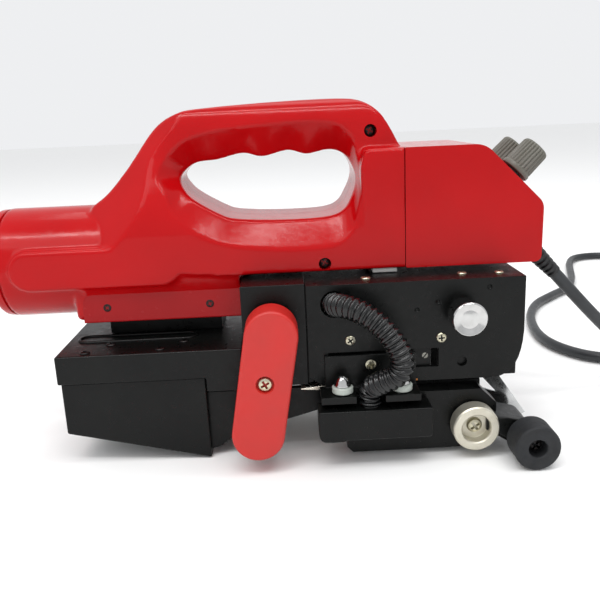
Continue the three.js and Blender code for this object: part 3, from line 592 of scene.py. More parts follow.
class WELDER_OT_stage(bpy.types.Operator):
    """Makes the camera, the pale floor and the soft lights"""

    bl_idname = "welder.stage"
    bl_label = "Stage"

    def execute(self, context):
        settings = context.scene.welder_stage
        camera = bpy.data.objects.new("camera", bpy.data.cameras.new("camera"))
        context.scene.collection.objects.link(camera)
        camera.data.lens = settings.lens
        camera.data.sensor_width = 36
        camera.data.clip_start = 0.02
        right, down, ahead = camera_axes(settings.pitch, settings.yaw, settings.roll)
        turn = Matrix((right, -down, -ahead)).transposed().to_4x4()
        camera.matrix_world = Matrix.Translation(place(*CAMERA_AT)) @ turn
        context.scene.camera = camera

        bm = bmesh.new()
        bmesh.ops.create_grid(bm, x_segments=1, y_segments=1, size=settings.floor_size / 2)
        bmesh.ops.translate(bm, vec=(0, 0, -0.3 * MM), verts=bm.verts)
        floor = as_object(bm, "floor")
        floor.data.materials.append(plain("Pale paper", "#F7F7F6", 0.9))

        for i, (at, target, width, height, power) in enumerate(SOFTBOXES):
            light = bpy.data.lights.new(f"softbox_{i}", "AREA")
            light.shape = "RECTANGLE"
            light.size = width
            light.size_y = height
            light.energy = power
            lamp = bpy.data.objects.new(light.name, light)
            context.scene.collection.objects.link(lamp)
            back = (Vector(at) - Vector(target)).to_track_quat("Z", "Y")
            lamp.matrix_world = Matrix.Translation(at) @ back.to_matrix().to_4x4()

        world = bpy.data.worlds.new("Studio")
        world.use_nodes = True
        sky = next(n for n in world.node_tree.nodes if n.type == "BACKGROUND")
        sky.inputs["Color"].default_value = linear("#FCFDFF")
        sky.inputs["Strength"].default_value = 0.88
        context.scene.world = world
        context.scene.view_settings.view_transform = "Standard"
        return {"FINISHED"}


# ---- mains lead -------------------------------------------------------------------------------

EXIT = Vector((142.5, 15.0, 100.5))
EXIT_DIRECTION = Vector((0.7, 0.1, -0.707)).normalized()
RELIEF_LENGTH = 28.0
LEAD_FLOOR = 4.0
LEAD_ROUTE = [
    (173, 20, 69), (187, 24, 54.5), (202, 29, 40), (218, 33, 26.5), (234, 36.5, 15.5),
    (251, 40, 8), (270, 42.5, 4.6), (292, 44, LEAD_FLOOR), (322, 49, LEAD_FLOOR),
    (352, 62, LEAD_FLOOR), (375, 90, LEAD_FLOOR), (388, 130, LEAD_FLOOR), (394, 180, LEAD_FLOOR),
    (397, 240, LEAD_FLOOR), (398, 300, LEAD_FLOOR), (397, 345, LEAD_FLOOR), (395, 377, LEAD_FLOOR),
    (381, 402, LEAD_FLOOR), (358, 410, LEAD_FLOOR), (335, 402, LEAD_FLOOR), (320, 379, LEAD_FLOOR),
    (307, 345, LEAD_FLOOR), (293, 307, LEAD_FLOOR), (275, 272, LEAD_FLOOR), (252, 248, LEAD_FLOOR),
    (227, 220, LEAD_FLOOR), (210, 186, LEAD_FLOOR), (200, 148, LEAD_FLOOR), (199, 116, LEAD_FLOOR),
    (209, 90, LEAD_FLOOR), (226, 76, LEAD_FLOOR), (250, 73, LEAD_FLOOR), (275, 75.5, LEAD_FLOOR),
]
COIL_AT = Vector((312, 134))
COIL_COLUMNS = (45.7, 38.2)  # radii of the outer and the inner column of turns
COIL_ROW = 7.3
# Where the turns change place: start angle, end angle, and the column and row they change to.
COIL_MOVES = (
    (185, 265, 1, 0), (485, 540, 1, 1), (760, 840, 0, 1), (1060, 1115, 0, 2),
    (1335, 1415, 1, 2), (1635, 1690, 1, 3), (1910, 1990, 0, 3),
)
COIL_START, COIL_END = -90.0, 2165.0
TIE_REACH, TIE_RISE, TIE_Z = 9.6, 13.6, 15.2  # half the tie's width and height, and its middle
TIE_OUT = 42.0  # how far the tie lies from the coil's middle
PLUG = Vector((357, 192, 16.2))
PLUG_TAIL = [(359.2, 158, 23), (358.2, 172, 18.6), (357.4, 182, 17)]


def ease(t):
    """A smooth step from 0 to 1."""
    return t * t * (3 - 2 * t)


def coil_points(steps):
    """The centreline of the coil's turns, from the bottom outside to the top outside."""
    count = round((COIL_END - COIL_START) / 360 * steps)
    out = []
    for i in range(count + 1):
        angle = COIL_START + (COIL_END - COIL_START) * i / count
        radius, height = COIL_COLUMNS[0], LEAD_FLOOR
        column, row = 0, 0
        for start, end, new_column, new_row in COIL_MOVES:
            share = ease(min(max((angle - start) / (end - start), 0), 1))
            radius += (COIL_COLUMNS[new_column] - COIL_COLUMNS[column]) * share
            height += (new_row - row) * COIL_ROW * share
            column, row = new_column, new_row
        turn = math.radians(angle)
        out.append(place(COIL_AT.x + radius * math.cos(turn), COIL_AT.y + radius * math.sin(turn),
                         height))
    return out


def lead_line(steps):
    """The whole lead's centreline, from the strain relief to the plug, in metres."""
    start = EXIT + EXIT_DIRECTION * (RELIEF_LENGTH - 2)
    coil = coil_points(steps)
    route = [place(*start)] + [place(*p) for p in LEAD_ROUTE]
    loose = flowing(route + coil[1:3], steps=6)[:-7]
    tail = flowing([coil[-2], coil[-1]] + [place(*p) for p in PLUG_TAIL] + [place(*PLUG)], steps=5)
    return loose + coil[1:-1] + tail[5:]


def tube_curve(name, points, radius, material):
    """A curve of one open spline with a round section."""
    curve = bpy.data.curves.new(name, "CURVE")
    curve.dimensions = "3D"
    curve.bevel_depth = radius
    curve.bevel_resolution = 5
    curve.use_fill_caps = True
    spline = curve.splines.new("POLY")
    spline.points.add(len(points) - 1)
    for spot, point in zip(spline.points, points):
        spot.co = (*point, 1)
    spline.use_smooth = True
    curve.materials.append(material)
    made = bpy.data.objects.new(name, curve)
    bpy.context.scene.collection.objects.link(made)
    return made


def relief_boot():
    """The ribbed boot round the lead where it leaves the box."""
    ribs = 7
    profile = [(0, -1.0), (6.6, -1.0), (6.6, 1.8)]
    for i in range(ribs):
        share = i / (ribs - 1)
        outer = 5.6 - 1.3 * share
        start = 3.4 + (RELIEF_LENGTH - 7.5) * share
        profile += [(outer - 0.9, start - 1.1), (outer, start - 0.7), (outer, start + 1.0),
                    (outer - 0.9, start + 1.4)]
    profile += [(4.15, RELIEF_LENGTH - 1.6), (4.1, RELIEF_LENGTH), (0, RELIEF_LENGTH)]
    return spun(profile, EXIT_DIRECTION, EXIT, 40, 0.25)


def mains_plug():
    """A moulded two-pin plug, lying beside the coil."""
    body = [(0, 0), (4.7, 0), (5.0, 2), (6.4, 14), (8.3, 25), (12.8, 30.5), (15.8, 33),
            (15.9, 47.5), (15.2, 49.4), (0, 49.6)]
    pins = []
    for side in (-9.5, 9.5):
        pin = [(0, 46), (2.4, 46), (2.4, 66.5), (1.9, 68.4), (0, 69)]
        pins.append(spun(pin, ALONG_Y, PLUG + Vector((side, 0, 0)), 20))
    return spun(body, ALONG_Y, PLUG, 56, 1.2), merge(*pins)


class WELDER_OT_lead(bpy.types.Operator):
    """Makes the mains lead, its coil, its strain relief and its plug"""

    bl_idname = "welder.lead"
    bl_label = "Mains lead"

    def execute(self, context):
        settings = context.scene.welder_lead
        finish = finishes()
        line = lead_line(settings.turn_steps)
        lead = tube_curve("mains_lead", line, settings.radius, finish["cable"])
        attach(lead, "frame")
        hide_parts("power_cord", "cord_coil", "cord_tail")
        relief = piece("strain_relief_boot", relief_boot(), finish["nylon_black"], "frame",
                       ["strain_relief"])
        plug, pins = mains_plug()
        plug = piece("plug_body", plug, finish["nylon_black"], "frame",
                     ["cord_plug"])
        pins = piece("plug_pins", pins, finish["zinc"], "frame")
        tie = [place(COIL_AT.x - math.cos(math.radians(a)) * TIE_REACH - TIE_OUT, COIL_AT.y,
                     TIE_Z + math.sin(math.radians(a)) * TIE_RISE) for a in range(0, 361, 12)]
        band = piece("coil_tie", swept(tie, lambda d: 1.0 * MM, 10), finish["nylon_black"],
                     "frame")
        return {"FINISHED"}


# ---- moulded housing --------------------------------------------------------------------------

SEAM_X = 69.7
BARREL_RADIUS, BARREL_Z, BARREL_LEFT = 30.0, 102.0, -143.0
PAD_HALF = 10.7
SEAT_HALF = 27.6  # half the width of the neck between the belly and the skirt
HANDLE_BACK = [
    (-94.9, 132.2), (-84.6, 139.6), (-72.8, 152.6), (-60.9, 168.3), (-53.3, 175), (-44.6, 178.8),
    (-37.4, 180.2), (-13.3, 181.6), (13.3, 182.5), (38, 182.6), (50, 181), (59, 175.3),
    (64.9, 166.6), (70.2, 156.4),
]
BELLY = [(-19.4, 95.0), (-51.9, 98.5), (-69, 104.2), (-80, 109)]
HALF_SECTION = [(33, 90), (33, 118), (31.8, 128), (28, 139), (22.8, 149), (19.4, 157), (18.4, 166),
                (17.4, 173.5), (13.6, 180.2), (6.5, 183.6), (0, 184.2)]
OPENING = [
    (-45.8, 146.3), (-44.4, 140.4), (-39.3, 134.7), (-26.1, 126.7), (-17.1, 123.7), (5.9, 122.2),
    (28.9, 122.6), (38.5, 125.5), (43.1, 132), (46.1, 139.8), (45.5, 146.8), (41, 154),
    (33, 156.6), (21.2, 154.7), (11.3, 157.2), (-2.4, 154.4), (-12.7, 156.7), (-26.4, 153.9),
    (-38.5, 152.6),
]
RIDGE = [
    (-57, 150), (-52.6, 138), (-48.7, 128.1), (-36.9, 117.3), (-21, 111.2), (5.3, 108.0),
    (31.2, 108.4), (41.6, 114.6), (45.4, 122.8), (47.3, 140.5), (47.1, 152), (45, 163),
    (37, 170), (22, 172), (11.3, 171.8), (-2.4, 171), (-12.7, 170.2), (-26.4, 169),
    (-44, 164),
]
SCOOP_DEPTH = 9.5
FACET = (Vector((-79.7, -18, 114.4)), Vector((-60.5, -6.5, 152.2)), Vector((-92.4, 0, 130.4)))
SCREW_WELLS = ((54.5, 165.6, 3.3, 1.5), (27.8, 99.4, 3.3, -13.0))


def end_profile():
    """The housing's section from the end: full width below, the grip's width above."""
    half = flowing([(y, z) for y, z in HALF_SECTION[1:-1]], steps=3)
    half = [Vector(HALF_SECTION[0])] + half + [Vector(HALF_SECTION[-1])]
    right = [(MID_Y + p.x, p.y) for p in half]
    left = [(MID_Y - p.x, p.y) for p in reversed(half[:-1])]
    return right + left


def end_prism():
    """A long bar of the end profile, along X."""
    outline = end_profile()
    return loft([[place(x, y, z) for y, z in outline] for x in (-120.0, 75.0)])


def facet_planes():
    """The two planes that cut the handle's root to a V where it meets the barrel."""
    a, b, c = FACET
    normal = (b - a).cross(c - a).normalized()
    mirrored = Vector((normal.x, -normal.y, normal.z))
    return ((a, normal), (Vector((a.x, 2 * MID_Y - a.y, a.z)), mirrored))


def handle_loop():
    """The handle and the body below it, without the opening."""
    outline = [(71, COVER_BOTTOM), (-12, COVER_BOTTOM)]
    outline += [tuple(p) for p in flowing(BELLY, steps=3)] + [(-97, 113)]
    outline += [tuple(p) for p in flowing(HANDLE_BACK, steps=4)] + [(71, 150)]
    loop = to_bmesh(carved(prism(outline, NEAR_Y - 1, FAR_Y + 1), end_prism(), "INTERSECT"))
    for point, normal in facet_planes():
        cut = bmesh.ops.bisect_plane(
            loop, geom=loop.verts[:] + loop.edges[:] + loop.faces[:], dist=1e-7,
            plane_co=place(*point), plane_no=normal, clear_outer=True,
        )["geom_cut"]
        rim = [e for e in cut if isinstance(e, bmesh.types.BMEdge)]
        bmesh.ops.edgeloop_fill(loop, edges=rim)
    bmesh.ops.recalc_face_normals(loop, faces=loop.faces)
    return loop


def sink_of(z):
    """How far the housing's side lies inside its widest plane at a height."""
    widest = HALF_SECTION[0][0]
    for (wide, low), (narrow, high) in zip(HALF_SECTION, HALF_SECTION[1:]):
        if low <= z <= high:
            return widest - wide + (wide - narrow) * (z - low) / (high - low)
    return 0.0


def scoop():
    """What is cut out for the hand: straight through, and flared out to a ridge on each side."""
    pairs = list(zip(flowing(OPENING, closed=True), flowing(RIDGE, closed=True)))
    ridge = [(r.x, NEAR_Y + sink_of(r.y), r.y) for _, r in pairs]
    mouth = [(o.x, NEAR_Y + sink_of(r.y) + SCOOP_DEPTH, o.y) for o, r in pairs]
    near = [[(x, NEAR_Y - 30, z) for x, _, z in ridge], ridge, mouth]
    far = [[(x, 2 * MID_Y - y, z) for x, y, z in section] for section in reversed(near)]
    return loft([[place(*spot) for spot in section] for section in near + far])


def seat_of(radius, x, z, near, far):
    """A straight hole along Y."""
    return spun([(0, near), (radius, near), (radius, far), (0, far)], ALONG_Y, (x, 0, z), 28)


def housing_shape(settings):
    """The whole housing as one smooth skin."""
    body = carved(handle_loop(), scoop())
    barrel = spun(
        [(0, 0), (BARREL_RADIUS, 0), (BARREL_RADIUS, 95), (0, 95)], (1, 0, 0),
        (BARREL_LEFT, MID_Y, BARREL_Z), 96,
    )
    pad_outline = bar_outline(-92, 102.2, 90, 2 * PAD_HALF)
    pad = prism(pad_outline, NEAR_Y, FAR_Y, 1.2, 2)
    shoulder = prism(
        rounded([(47.6, 100), (SEAM_X + 1, 100, 0), (SEAM_X + 1, COVER_TOP, 0),
                 (50, COVER_TOP, 3), (47.6, 148, 6)], 2),
        NEAR_Y, FAR_Y, 2.2, 4,
    )
    seat = soften(box((-106, MID_Y - SEAT_HALF, 73), (-17.2, MID_Y + SEAT_HALF, 104)), 3, 3)
    neck = [(MID_Y + side * y, z) for side, spots in
            ((1, ((10, 84), (SEAT_HALF - 1, 84), (33, 100), (33, 104))),
             (-1, ((33, 104), (33, 100), (SEAT_HALF - 1, 84), (10, 84)))) for y, z in spots]
    slope = loft([[place(x, y, z) for y, z in neck] for x in (-100, -17.2)])
    whole = as_object(merge(to_bmesh(body), barrel, pad, shoulder, seat, slope), "housing")
    blend = whole.modifiers.new("blend", "REMESH")
    blend.mode = "VOXEL"
    blend.voxel_size = settings.voxel
    soft = whole.modifiers.new("soft", "SMOOTH")
    soft.factor = 0.5
    soft.iterations = settings.smoothing
    return settle(whole)


def half_shell(whole, side, settings):
    """The half of the housing on one side of the seam, with its screw wells and its end cut
    flush."""
    bm = bmesh.new()
    bm.from_mesh(whole.data)
    cuts = (
        (place(0, MID_Y, 0) + ALONG_Y * side * settings.seam / 2, ALONG_Y * -side),
        (place(SEAM_X, 0, 0), Vector((1, 0, 0))),
    )
    for point, normal in cuts:
        rim = bmesh.ops.bisect_plane(
            bm, geom=bm.verts[:] + bm.edges[:] + bm.faces[:], dist=1e-7, plane_co=point,
            plane_no=normal, clear_outer=True,
        )["geom_cut"]
        rim = [e for e in rim if isinstance(e, bmesh.types.BMEdge)]
        bmesh.ops.triangle_fill(bm, edges=rim, use_beauty=True, use_dissolve=False, normal=normal)
    wells = []
    for x, z, radius, depth in SCREW_WELLS:
        near, far = (NEAR_Y - 5, depth) if side < 0 else (2 * MID_Y - depth, FAR_Y + 5)
        wells.append(seat_of(radius, x, z, near, far))
    shell = as_object(bm, "shell")
    for well in wells:
        shell = carved(shell, well)
    return shell


class WELDER_OT_housing(bpy.types.Operator):
    """Makes the two half shells of the moulded housing"""

    bl_idname = "welder.housing"
    bl_label = "Housing"

    def execute(self, context):
        settings = context.scene.welder_housing
        finish = finishes()
        whole = housing_shape(settings)
        for side, name in ((-1, "near"), (1, "far")):
            piece(f"handle_shell_{name}", half_shell(whole, side, settings), finish["abs"],
                  "frame", [f"housing_{name}_shell"], 40, False)
        bpy.data.objects.remove(whole)
        return {"FINISHED"}


# ---- small parts that repeat --------------------------------------------------------------------

def plate(outline, low, high, axis, centre):
    """An outline in the plane across axis, extruded along it from low to high."""
    bm = bmesh.new()
    face = bm.faces.new([bm.verts.new((x * MM, y * MM, low * MM)) for x, y in outline])
    made = bmesh.ops.extrude_face_region(bm, geom=[face])["geom"]
    moved = [v for v in made if isinstance(v, bmesh.types.BMVert)]
    bmesh.ops.translate(bm, vec=(0, 0, (high - low) * MM), verts=moved)
    bmesh.ops.recalc_face_normals(bm, faces=bm.faces)
    bmesh.ops.transform(bm, matrix=toward(axis, centre), verts=bm.verts)
    return bm


def cross_outline(reach, half, turn):
    """A cross with arms that reach this far and are twice half wide."""
    arm = [(reach, -half), (reach, half), (half, half)]
    out = []
    for quarter in range(4):
        spin = Matrix.Rotation(math.pi / 2 * quarter + turn, 2)
        out += [tuple(spin @ Vector(spot)) for spot in arm]
    return out


def pan_screw(axis, centre, radius, height, turn=0.3, cross=True):
    """A domed screw head with a cross recess or a slot, its foot at centre."""
    dome = [(0, -1.0), (radius, -1.0), (radius, height * 0.35), (radius * 0.86, height * 0.72),
            (radius * 0.55, height * 0.95), (0, height)]
    head = spun(dome, axis, centre, 40, 0.2)
    if cross:
        recess = cross_outline(radius * 0.62, radius * 0.16, turn)
    else:
        spin = Matrix.Rotation(turn, 2)
        reach, half = radius * 1.2, radius * 0.14
        recess = [tuple(spin @ Vector(spot)) for spot in
                  ((-reach, -half), (reach, -half), (reach, half), (-reach, half))]
    return to_bmesh(carved(head, plate(recess, -0.5, height + 2, axis, centre)))


def ribbed(profile, ribs, axis, centre, fine=6):
    """A turned shape with ribs along it. profile is [radius, distance, depth of the grooves]."""
    count = ribs * fine
    stand = toward(axis, centre)
    sections = []
    for radius, distance, depth in profile:
        ring = []
        for i in range(count):
            angle = 2 * math.pi * i / count
            groove = (0.5 - 0.5 * math.cos(angle * ribs)) ** 2
            own = (radius - depth * groove) * MM
            ring.append(stand @ Vector((own * math.cos(angle), own * math.sin(angle),
                                        distance * MM)))
        sections.append(ring)
    return loft(sections)


# ---- CAD shapes that are kept, with softened edges ---------------------------------------------

NEAR_WAY = Vector((0, -1, 0))
UP = Vector((0, 0, 1))
BODY_OF = {
    node: body for body, nodes in frame["record"]["behaviour"]["bodies"].items() for node in nodes
}

SOFTENED = (
    # CAD node, finish, edge as a share of the folded steel's
    ("upper_frame_cover", "steel_black", 1.0), ("left_side_plate", "steel_black", 1.0),
    ("frame_back_plate", "steel_black", 1.0), ("frame_end_plate", "steel_black", 1.0),
    ("gear_box_cover", "steel_black", 2.4), ("motor_bracket", "steel_black", 1.0),
    ("lower_box", "steel_black", 2.0), ("near_arm", "steel_black", 1.5),
    ("far_arm", "steel_black", 1.5), ("arm_bridge", "steel_black", 1.0),
    ("wheel_carrier", "steel_black", 1.0), ("wedge_bracket", "steel_black", 0.8),
    ("carriage_bar", "steel_black", 1.0), ("heated_wedge", "nickel", 0.5),
    ("film_guide", "stainless", 0.5), ("spacer_pad", "white", 1.0),
    # motor_saddle takes the darker red ABS, whose colour paints the shade under the barrel.
    ("motor_saddle", "skirt", 3.0), ("power_switch", "nylon_black", 1.5),
    ("power_rocker", "abs", 1.5), ("adjust_screw", "steel", 1.0),
    ("far_roller_axle", "zinc", 1.0), ("cartridge_heater", "steel", 1.0),
    ("speed_control", "steel", 1.0), ("temperature_control", "steel", 1.0),
    ("control_board", "board", 0.5), ("upper_sprocket", "steel", 0.5),
    ("lower_sprocket", "steel", 0.5), ("drive_roller", "steel", 1.5),
    ("press_roller", "rubber", 1.5), ("cam_shaft", "steel", 1.0),
)
CARRIED = {"motor_can": "steel", "motor_gearhead": "cast", "drive_chain": "dark_screw"}
DIMPLES = ((109.2, 87.4), (83.1, 80.9), (72.5, 77.2))


def softened(node, edge):
    """A copy of a CAD node's shape, with its loose triangles joined and its edges rounded."""
    bm = bmesh.new()
    bm.from_mesh(frame["nodes"][node].data)
    bmesh.ops.remove_doubles(bm, verts=bm.verts, dist=1e-5)
    bmesh.ops.dissolve_limit(
        bm, angle_limit=math.radians(1.5), use_dissolve_boundaries=False, verts=bm.verts,
        edges=bm.edges,
    )
    return soften(bm, edge, 2, 30)


def arm_outline(x, back):
    """The outline of a roller's arm: round about the axle, with a low flat top behind it."""
    out = []
    for k in range(17):
        angle = math.radians(-90 + 10 * k)
        out.append((x + 7.5 * math.cos(angle), 11.5 + 7.5 * math.sin(angle)))
    return out + [(back + 5, 22), (back, 22), (back, 14)]


def roller_arm():
    """The cranked arm of the near roller."""
    return merge(
        prism(arm_outline(126.8, 111), -49.5, -45.5, 0.6),
        prism(arm_outline(122.8, 106.5), -46, -25.5, 0.6),
    )


class WELDER_OT_frame(bpy.types.Operator):
    """Softens the folded steel, the arms and the other made shapes, and gives them finishes"""

    bl_idname = "welder.frame"
    bl_label = "Frame"

    def execute(self, context):
        finish = finishes()
        edge = context.scene.welder_metal.edge
        for node, kind, share in SOFTENED:
            shape = softened(node, edge * share)
            if node == "upper_frame_cover":
                for x, z in DIMPLES:
                    pit = spun([(0, -0.7), (1.2, -0.7), (1.5, 1), (0, 1)], NEAR_WAY,
                               (x, FRONT_Y, z), 20)
                    shape = to_bmesh(carved(shape, pit))
            piece(f"{node}_finished", shape, finish[kind], BODY_OF[node], [node])
        piece("roller_arm", roller_arm(), finish["steel_black"], "frame",
              ["near_roller_arm"])
        lap = soften(box((14.4, -33.6, 40.4), (19.0, -32.8, 91)), 0.2, 2)
        piece("frame_lap", lap, finish["steel_black"], "frame")
        for node, kind in CARRIED.items():
            slots = frame["nodes"][node].data.materials
            slots.clear()
            slots.append(finish[kind])
        return {"FINISHED"}


# ---- control box and barrel end ------------------------------------------------------------------

BOX_RIGHT, BOX_SLOPE_FOOT, BOX_SLOPE_HEAD = 141.5, 126.1, 110.6
SLOPE_AXIS = Vector((1, 0, 1)).normalized()
SLOPE_AT = Vector((128.2, 0, 139.4))
KNOB_STANDOFF, KNOB_RADIUS, KNOB_LENGTH = 2.8, 8.2, 17.0
VENT_PITCH, VENT_WIDTH, VENT_DEPTH = 5.4, 2.6, 2.5
VENT_CIRCLE, VENT_INSET = 21.5, 1.3  # the slots end this far inside a circle of this radius
CAP_THICK = 6.7
KNOBS = (("speed_knob", -2.0), ("temperature_knob", 32.0))


def control_box():
    """The moulded cover of the control box, with its sloping face."""
    outline = rounded(
        [(SEAM_X + 0.4, COVER_BOTTOM, 1), (BOX_RIGHT - 0.2, COVER_BOTTOM, 4),
         (BOX_RIGHT, BOX_SLOPE_FOOT, 8), (BOX_SLOPE_HEAD, COVER_TOP, 13),
         (SEAM_X + 0.4, COVER_TOP, 0.6)], 1, steps=8,
    )
    bm = prism(outline, NEAR_Y, FAR_Y)
    rims = [
        e for e in bm.edges
        if abs(e.verts[0].co.y - e.verts[1].co.y) < 1e-7
        and max(v.co.x for v in e.verts) > place(SEAM_X + 1.5, 0, 0).x
    ]
    bmesh.ops.bevel(
        bm, geom=rims, offset=3.4 * MM, offset_type="OFFSET", segments=6, profile=0.5,
        affect="EDGES", clamp_overlap=True, material=-1,
    )
    return bm


def barrel_cap():
    """The barrel's end cap, with a row of vent slots."""
    base = (BARREL_LEFT, MID_Y, BARREL_Z)
    cap = spun([(0, -1), (28.6, -1), (28.6, 0.4), (29.6, 0.9), (29.6, 3.2), (29.3, 4.6),
                (28.5, 5.7), (27.4, 6.4), (26.0, CAP_THICK), (0, CAP_THICK)],
               (-1, 0, 0), base, 80)
    slots = []
    for row in range(-3, 4):
        across = row * VENT_PITCH
        reach = math.sqrt(VENT_CIRCLE ** 2 - across ** 2) - VENT_INSET
        slot = [(y + across, x) for x, y in bar_outline(0, 0, 2 * reach, VENT_WIDTH, 0, 8)]
        slots.append(plate(slot, CAP_THICK - VENT_DEPTH, CAP_THICK + 2, (-1, 0, 0), base))
    return to_bmesh(carved(cap, merge(*slots)))


def control_knob(y):
    """A ribbed knob with a skirt."""
    foot = SLOPE_AT + Vector((0, y, 0)) + SLOPE_AXIS * KNOB_STANDOFF
    profile = [
        (0.4, 0, 0), (KNOB_RADIUS - 0.5, 0, 0), (KNOB_RADIUS, 0.5, 0), (KNOB_RADIUS, 2.2, 0),
        (KNOB_RADIUS - 0.5, 2.8, 0), (KNOB_RADIUS - 0.3, 3.3, 0.75),
        (KNOB_RADIUS - 0.7, KNOB_LENGTH - 1.4, 0.75), (KNOB_RADIUS - 1.2, KNOB_LENGTH - 0.5, 0.5),
        (KNOB_RADIUS - 2.0, KNOB_LENGTH, 0), (KNOB_RADIUS - 2.6, KNOB_LENGTH, 0),
        (KNOB_RADIUS - 2.9, KNOB_LENGTH - 0.5, 0), (0.4, KNOB_LENGTH - 0.5, 0),
    ]
    return ribbed(profile, 24, SLOPE_AXIS, foot)


class WELDER_OT_box(bpy.types.Operator):
    """Makes the control box, its knobs and the barrel's end cap"""

    bl_idname = "welder.box"
    bl_label = "Control box"

    def execute(self, context):
        finish = finishes()
        piece("control_box", control_box(), finish["abs"], "frame",
              ["control_box_cover"], 30)
        piece("barrel_cap", barrel_cap(), finish["abs"], "frame", ["motor_end_cap"])
        for node, y in KNOBS:
            piece(f"{node}_ribbed", control_knob(y), finish["knob"], node, [node],
                  50)
            foot = SLOPE_AT + Vector((0, y, 0))
            mark = plate([(-0.5, 1.6), (0.5, 1.6), (0.5, 5.0), (-0.5, 5.0)], KNOB_LENGTH - 0.7,
                         KNOB_LENGTH - 0.2, SLOPE_AXIS, foot + SLOPE_AXIS * KNOB_STANDOFF)
            piece(f"{node}_pointer", mark, finish["white"], node)
            collar = spun([(0, -0.5), (7.0, -0.5), (7.0, 0.9), (5.2, 1.3), (5.2, 2.4), (0, 2.4)],
                          SLOPE_AXIS, foot, 48, 0.25)
            piece(f"{node}_collar", collar, finish["nylon_black"], "frame")
        return {"FINISHED"}


# ---- press lever ---------------------------------------------------------------------------------

LEVER_X, LEVER_Z, LEVER_LENGTH, LEVER_WIDTH = -5.5, 48.6, 78.2, 26.4
LEVER_NEAR, LEVER_FAR = -56.0, -38.7
LEVER_LEAN = math.radians(80)
LEVER_DROP = 1.8  # the bar's middle lies this far below the pivot, along the bar


class WELDER_OT_lever(bpy.types.Operator):
    """Makes the cast press lever and its screw"""

    bl_idname = "welder.lever"
    bl_label = "Press lever"

    def execute(self, context):
        finish = finishes()
        outline = bar_outline(
            LEVER_X - LEVER_DROP * math.cos(LEVER_LEAN),
            LEVER_Z - LEVER_DROP * math.sin(LEVER_LEAN),
            LEVER_LENGTH, LEVER_WIDTH, LEVER_LEAN, 28,
        )
        bar = prism(outline, LEVER_NEAR, LEVER_FAR, 1.7, 5)
        pivot = (LEVER_X, LEVER_NEAR, LEVER_Z)
        sink = spun([(0, -2.2), (3.9, -2.2), (5.0, 1), (0, 1)], NEAR_WAY, pivot, 40)
        piece("lever_bar", to_bmesh(carved(bar, sink)), finish["enamel"], "lever",
              ["press_lever"], 40)
        head = pan_screw(NEAR_WAY, (LEVER_X, LEVER_NEAR + 2.2, LEVER_Z), 3.6, 2.0, 0.5)
        piece("lever_pivot_screw", head, finish["zinc"], "lever", ["lever_screw"])
        return {"FINISHED"}


# ---- wheels and rollers --------------------------------------------------------------------------

class WELDER_OT_wheels(bpy.types.Operator):
    """Makes the turned guide wheel, the rubber rollers and their screws"""

    bl_idname = "welder.wheels"
    bl_label = "Wheels"

    def execute(self, context):
        finish = finishes()
        hub = (100.4, -41.0, 16.7)
        rim = [(0, 0), (11.0, 0), (11.9, 0.7), (11.9, 8.2), (11.2, 9), (7.9, 9), (7.3, 8.2),
               (7.3, 2.8), (0, 2.8)]
        piece("guide_wheel_turned", spun(rim, NEAR_WAY, hub, 96, 0.35), finish["aluminium"],
              "guide_wheel", ["guide_wheel"], 30)
        piece("guide_wheel_screw", pan_screw(NEAR_WAY, (100.4, -43.9, 16.7), 3.9, 2.6, 0.6),
              finish["zinc"], "frame", ["wheel_screw"])

        hub = (126.8, -50.0, 11.5)
        tyre = [(0, 0), (11.0, 0), (11.5, 0.9), (11.5, 13.9), (10.8, 15), (5.2, 15), (4.6, 14.3),
                (4.6, 8), (0, 8)]
        piece("near_roller_tyre", spun(tyre, NEAR_WAY, hub, 80, 0.6), finish["rubber"],
              "near_roller", ["near_roller"], 30)
        piece("near_roller_bolt", pan_screw(NEAR_WAY, (126.8, -58.1, 11.5), 3.8, 2.4, 1.0),
              finish["dark_screw"], "frame", ["near_roller_screw"])

        hub = (112.0, 49.5, 11.5)
        tyre = [(0, 0), (11.0, 0), (11.5, 0.9), (11.5, 13.9), (10.8, 15), (0, 15)]
        piece("far_roller_tyre", spun(tyre, ALONG_Y, hub, 80, 0.6), finish["rubber"],
              "far_roller", ["far_roller"], 30)
        return {"FINISHED"}


# ---- wedge carriage ------------------------------------------------------------------------------

STUD_Y, STUDS = -46.0, (("left", 33.0), ("right", 62.8))
CONDUIT = [
    (30.6, -32, 82.2), (31, -38, 82.5), (34.6, -45, 83.5), (42, -51, 82), (51, -55.8, 76),
    (58, -58.4, 67), (61.2, -58.5, 58.5), (59.2, -56.6, 51), (51.9, -52, 45.5),
    (47.7, -48, 41.5), (46.7, -47.1, 37.5), (46.6, -47, 33), (46.6, -47, 28.6),
]
RING_PITCH, RING_RADIUS, VALLEY_RADIUS = 3.0 * MM, 6.0 * MM, 4.7 * MM


def conduit_radius(distance):
    """The corrugated conduit's radius at a distance along it."""
    wave = 0.5 + 0.5 * math.cos(2 * math.pi * distance / RING_PITCH)
    return VALLEY_RADIUS + (RING_RADIUS - VALLEY_RADIUS) * ease(wave)


